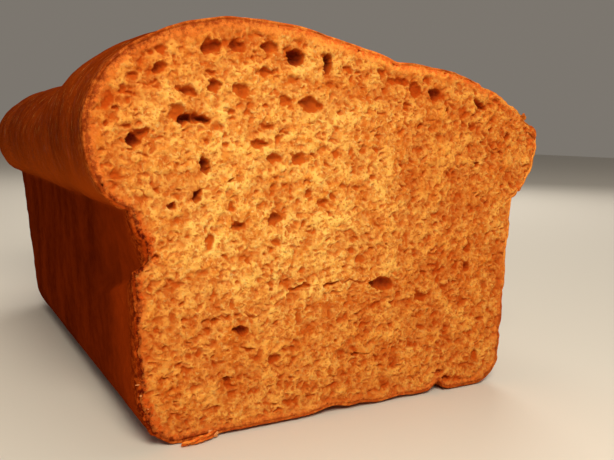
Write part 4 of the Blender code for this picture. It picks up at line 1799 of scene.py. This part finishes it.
@dataclass(frozen=True)
class Studio:
    """The floor, the lamps, and the camera at the photograph's angle. Its turns are degrees."""

    floor_size: float = 6.0
    camera_place: Triple = (-110.2 * MM, -272.8 * MM, 81.9 * MM)
    camera_yaw: float = -29.46
    camera_pitch: float = 7.68
    camera_roll: float = 1.31
    lens: float = 41.45
    sensor: float = 36.0
    clip_start: float = 0.01
    backdrop: Triple = (0.84, 0.76, 0.66)
    backdrop_power: float = 0.24
    lamps: tuple[SoftLight, ...] = (
        SoftLight("key", (-0.13, -0.44, 0.37), 0.20, 2.4, (1.0, 0.90, 0.72)),
        SoftLight("top", (0.10, 0.30, 1.5), 1.0, 6.0, (1.0, 0.90, 0.76)),
        SoftLight("back", (0.50, 0.60, 0.55), 0.5, 3.2, (1.0, 0.93, 0.82)),
    )

    def build(self) -> None:
        """Sets up the studio."""
        bpy.ops.object.select_all(action="DESELECT")
        bpy.ops.mesh.primitive_plane_add(size=self.floor_size)
        floor = bpy.context.object
        floor.name = "floor"
        floor.data.materials.append(FloorFinish().make())
        for lamp in self.lamps:
            lamp.make()
        world = bpy.data.worlds.new("studio")
        world.use_nodes = True
        background = world.node_tree.nodes["Background"]
        background.inputs["Color"].default_value = (*self.backdrop, 1.0)
        background.inputs["Strength"].default_value = self.backdrop_power
        bpy.context.scene.world = world
        bpy.context.scene.view_settings.view_transform = "Standard"
        self.add_camera()

    def add_camera(self) -> None:
        """Adds the camera: turned by its yaw, tipped by its pitch, and rolled about its own axis."""
        data = bpy.data.cameras.new("camera")
        data.lens = self.lens
        data.sensor_width = self.sensor
        data.clip_start = self.clip_start
        camera = bpy.data.objects.new("camera", data)
        turns = (90 - self.camera_pitch, self.camera_yaw, self.camera_roll)
        tip, yaw, roll = (math.radians(turn) for turn in turns)
        rolled = Euler((tip, 0, yaw), "XYZ").to_matrix() @ Matrix.Rotation(roll, 3, "Z")
        camera.matrix_world = Matrix.Translation(self.camera_place) @ rolled.to_4x4()
        bpy.context.scene.collection.objects.link(camera)
        bpy.context.scene.camera = camera


def hand_over(piece: Piece, form: LoafForm, finish: bpy.types.Material, stands_in: bool) -> None:
    """Moves a finished mesh into the solid's frame and dresses it.

    Args:
        piece: the mesh, with Y measured from the cut.
        form: the loaf's form.
        finish: the material.
        stands_in: whether it stands for the solid, rather than being added to it.
    """
    points = mesh_points(piece)
    points[:, 1] -= form.length / 2
    place_points(piece, points)
    piece.data.shade_smooth()
    piece.data.materials.clear()
    piece.data.materials.append(finish)
    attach(piece, "root")
    if stands_in:
        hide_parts("loaf")
    piece.data.calc_loop_triangles()
    log.info("%s: %d triangles", piece.name, len(piece.data.loop_triangles))


def main() -> None:
    """Builds and dresses the loaf, then sets the studio up."""
    logging.basicConfig(level=logging.INFO, format="%(name)s %(message)s")
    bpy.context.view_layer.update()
    form, relief = LoafForm(), Relief()
    crust = Crust(form, relief)
    crust_finish = CrustFinish().make()
    hand_over(crust.build(), form, crust_finish, True)
    hand_over(Crumb(relief, crust.outline).build(), form, CrumbFinish().make(), True)
    hand_over(Flakes().build(), form, crust_finish, False)
    hand_over(CrumbsAndPaintedGlints().build(), form, SpeckFinish().make(), False)
    Studio().build()


if __name__ == "__main__":
    main()
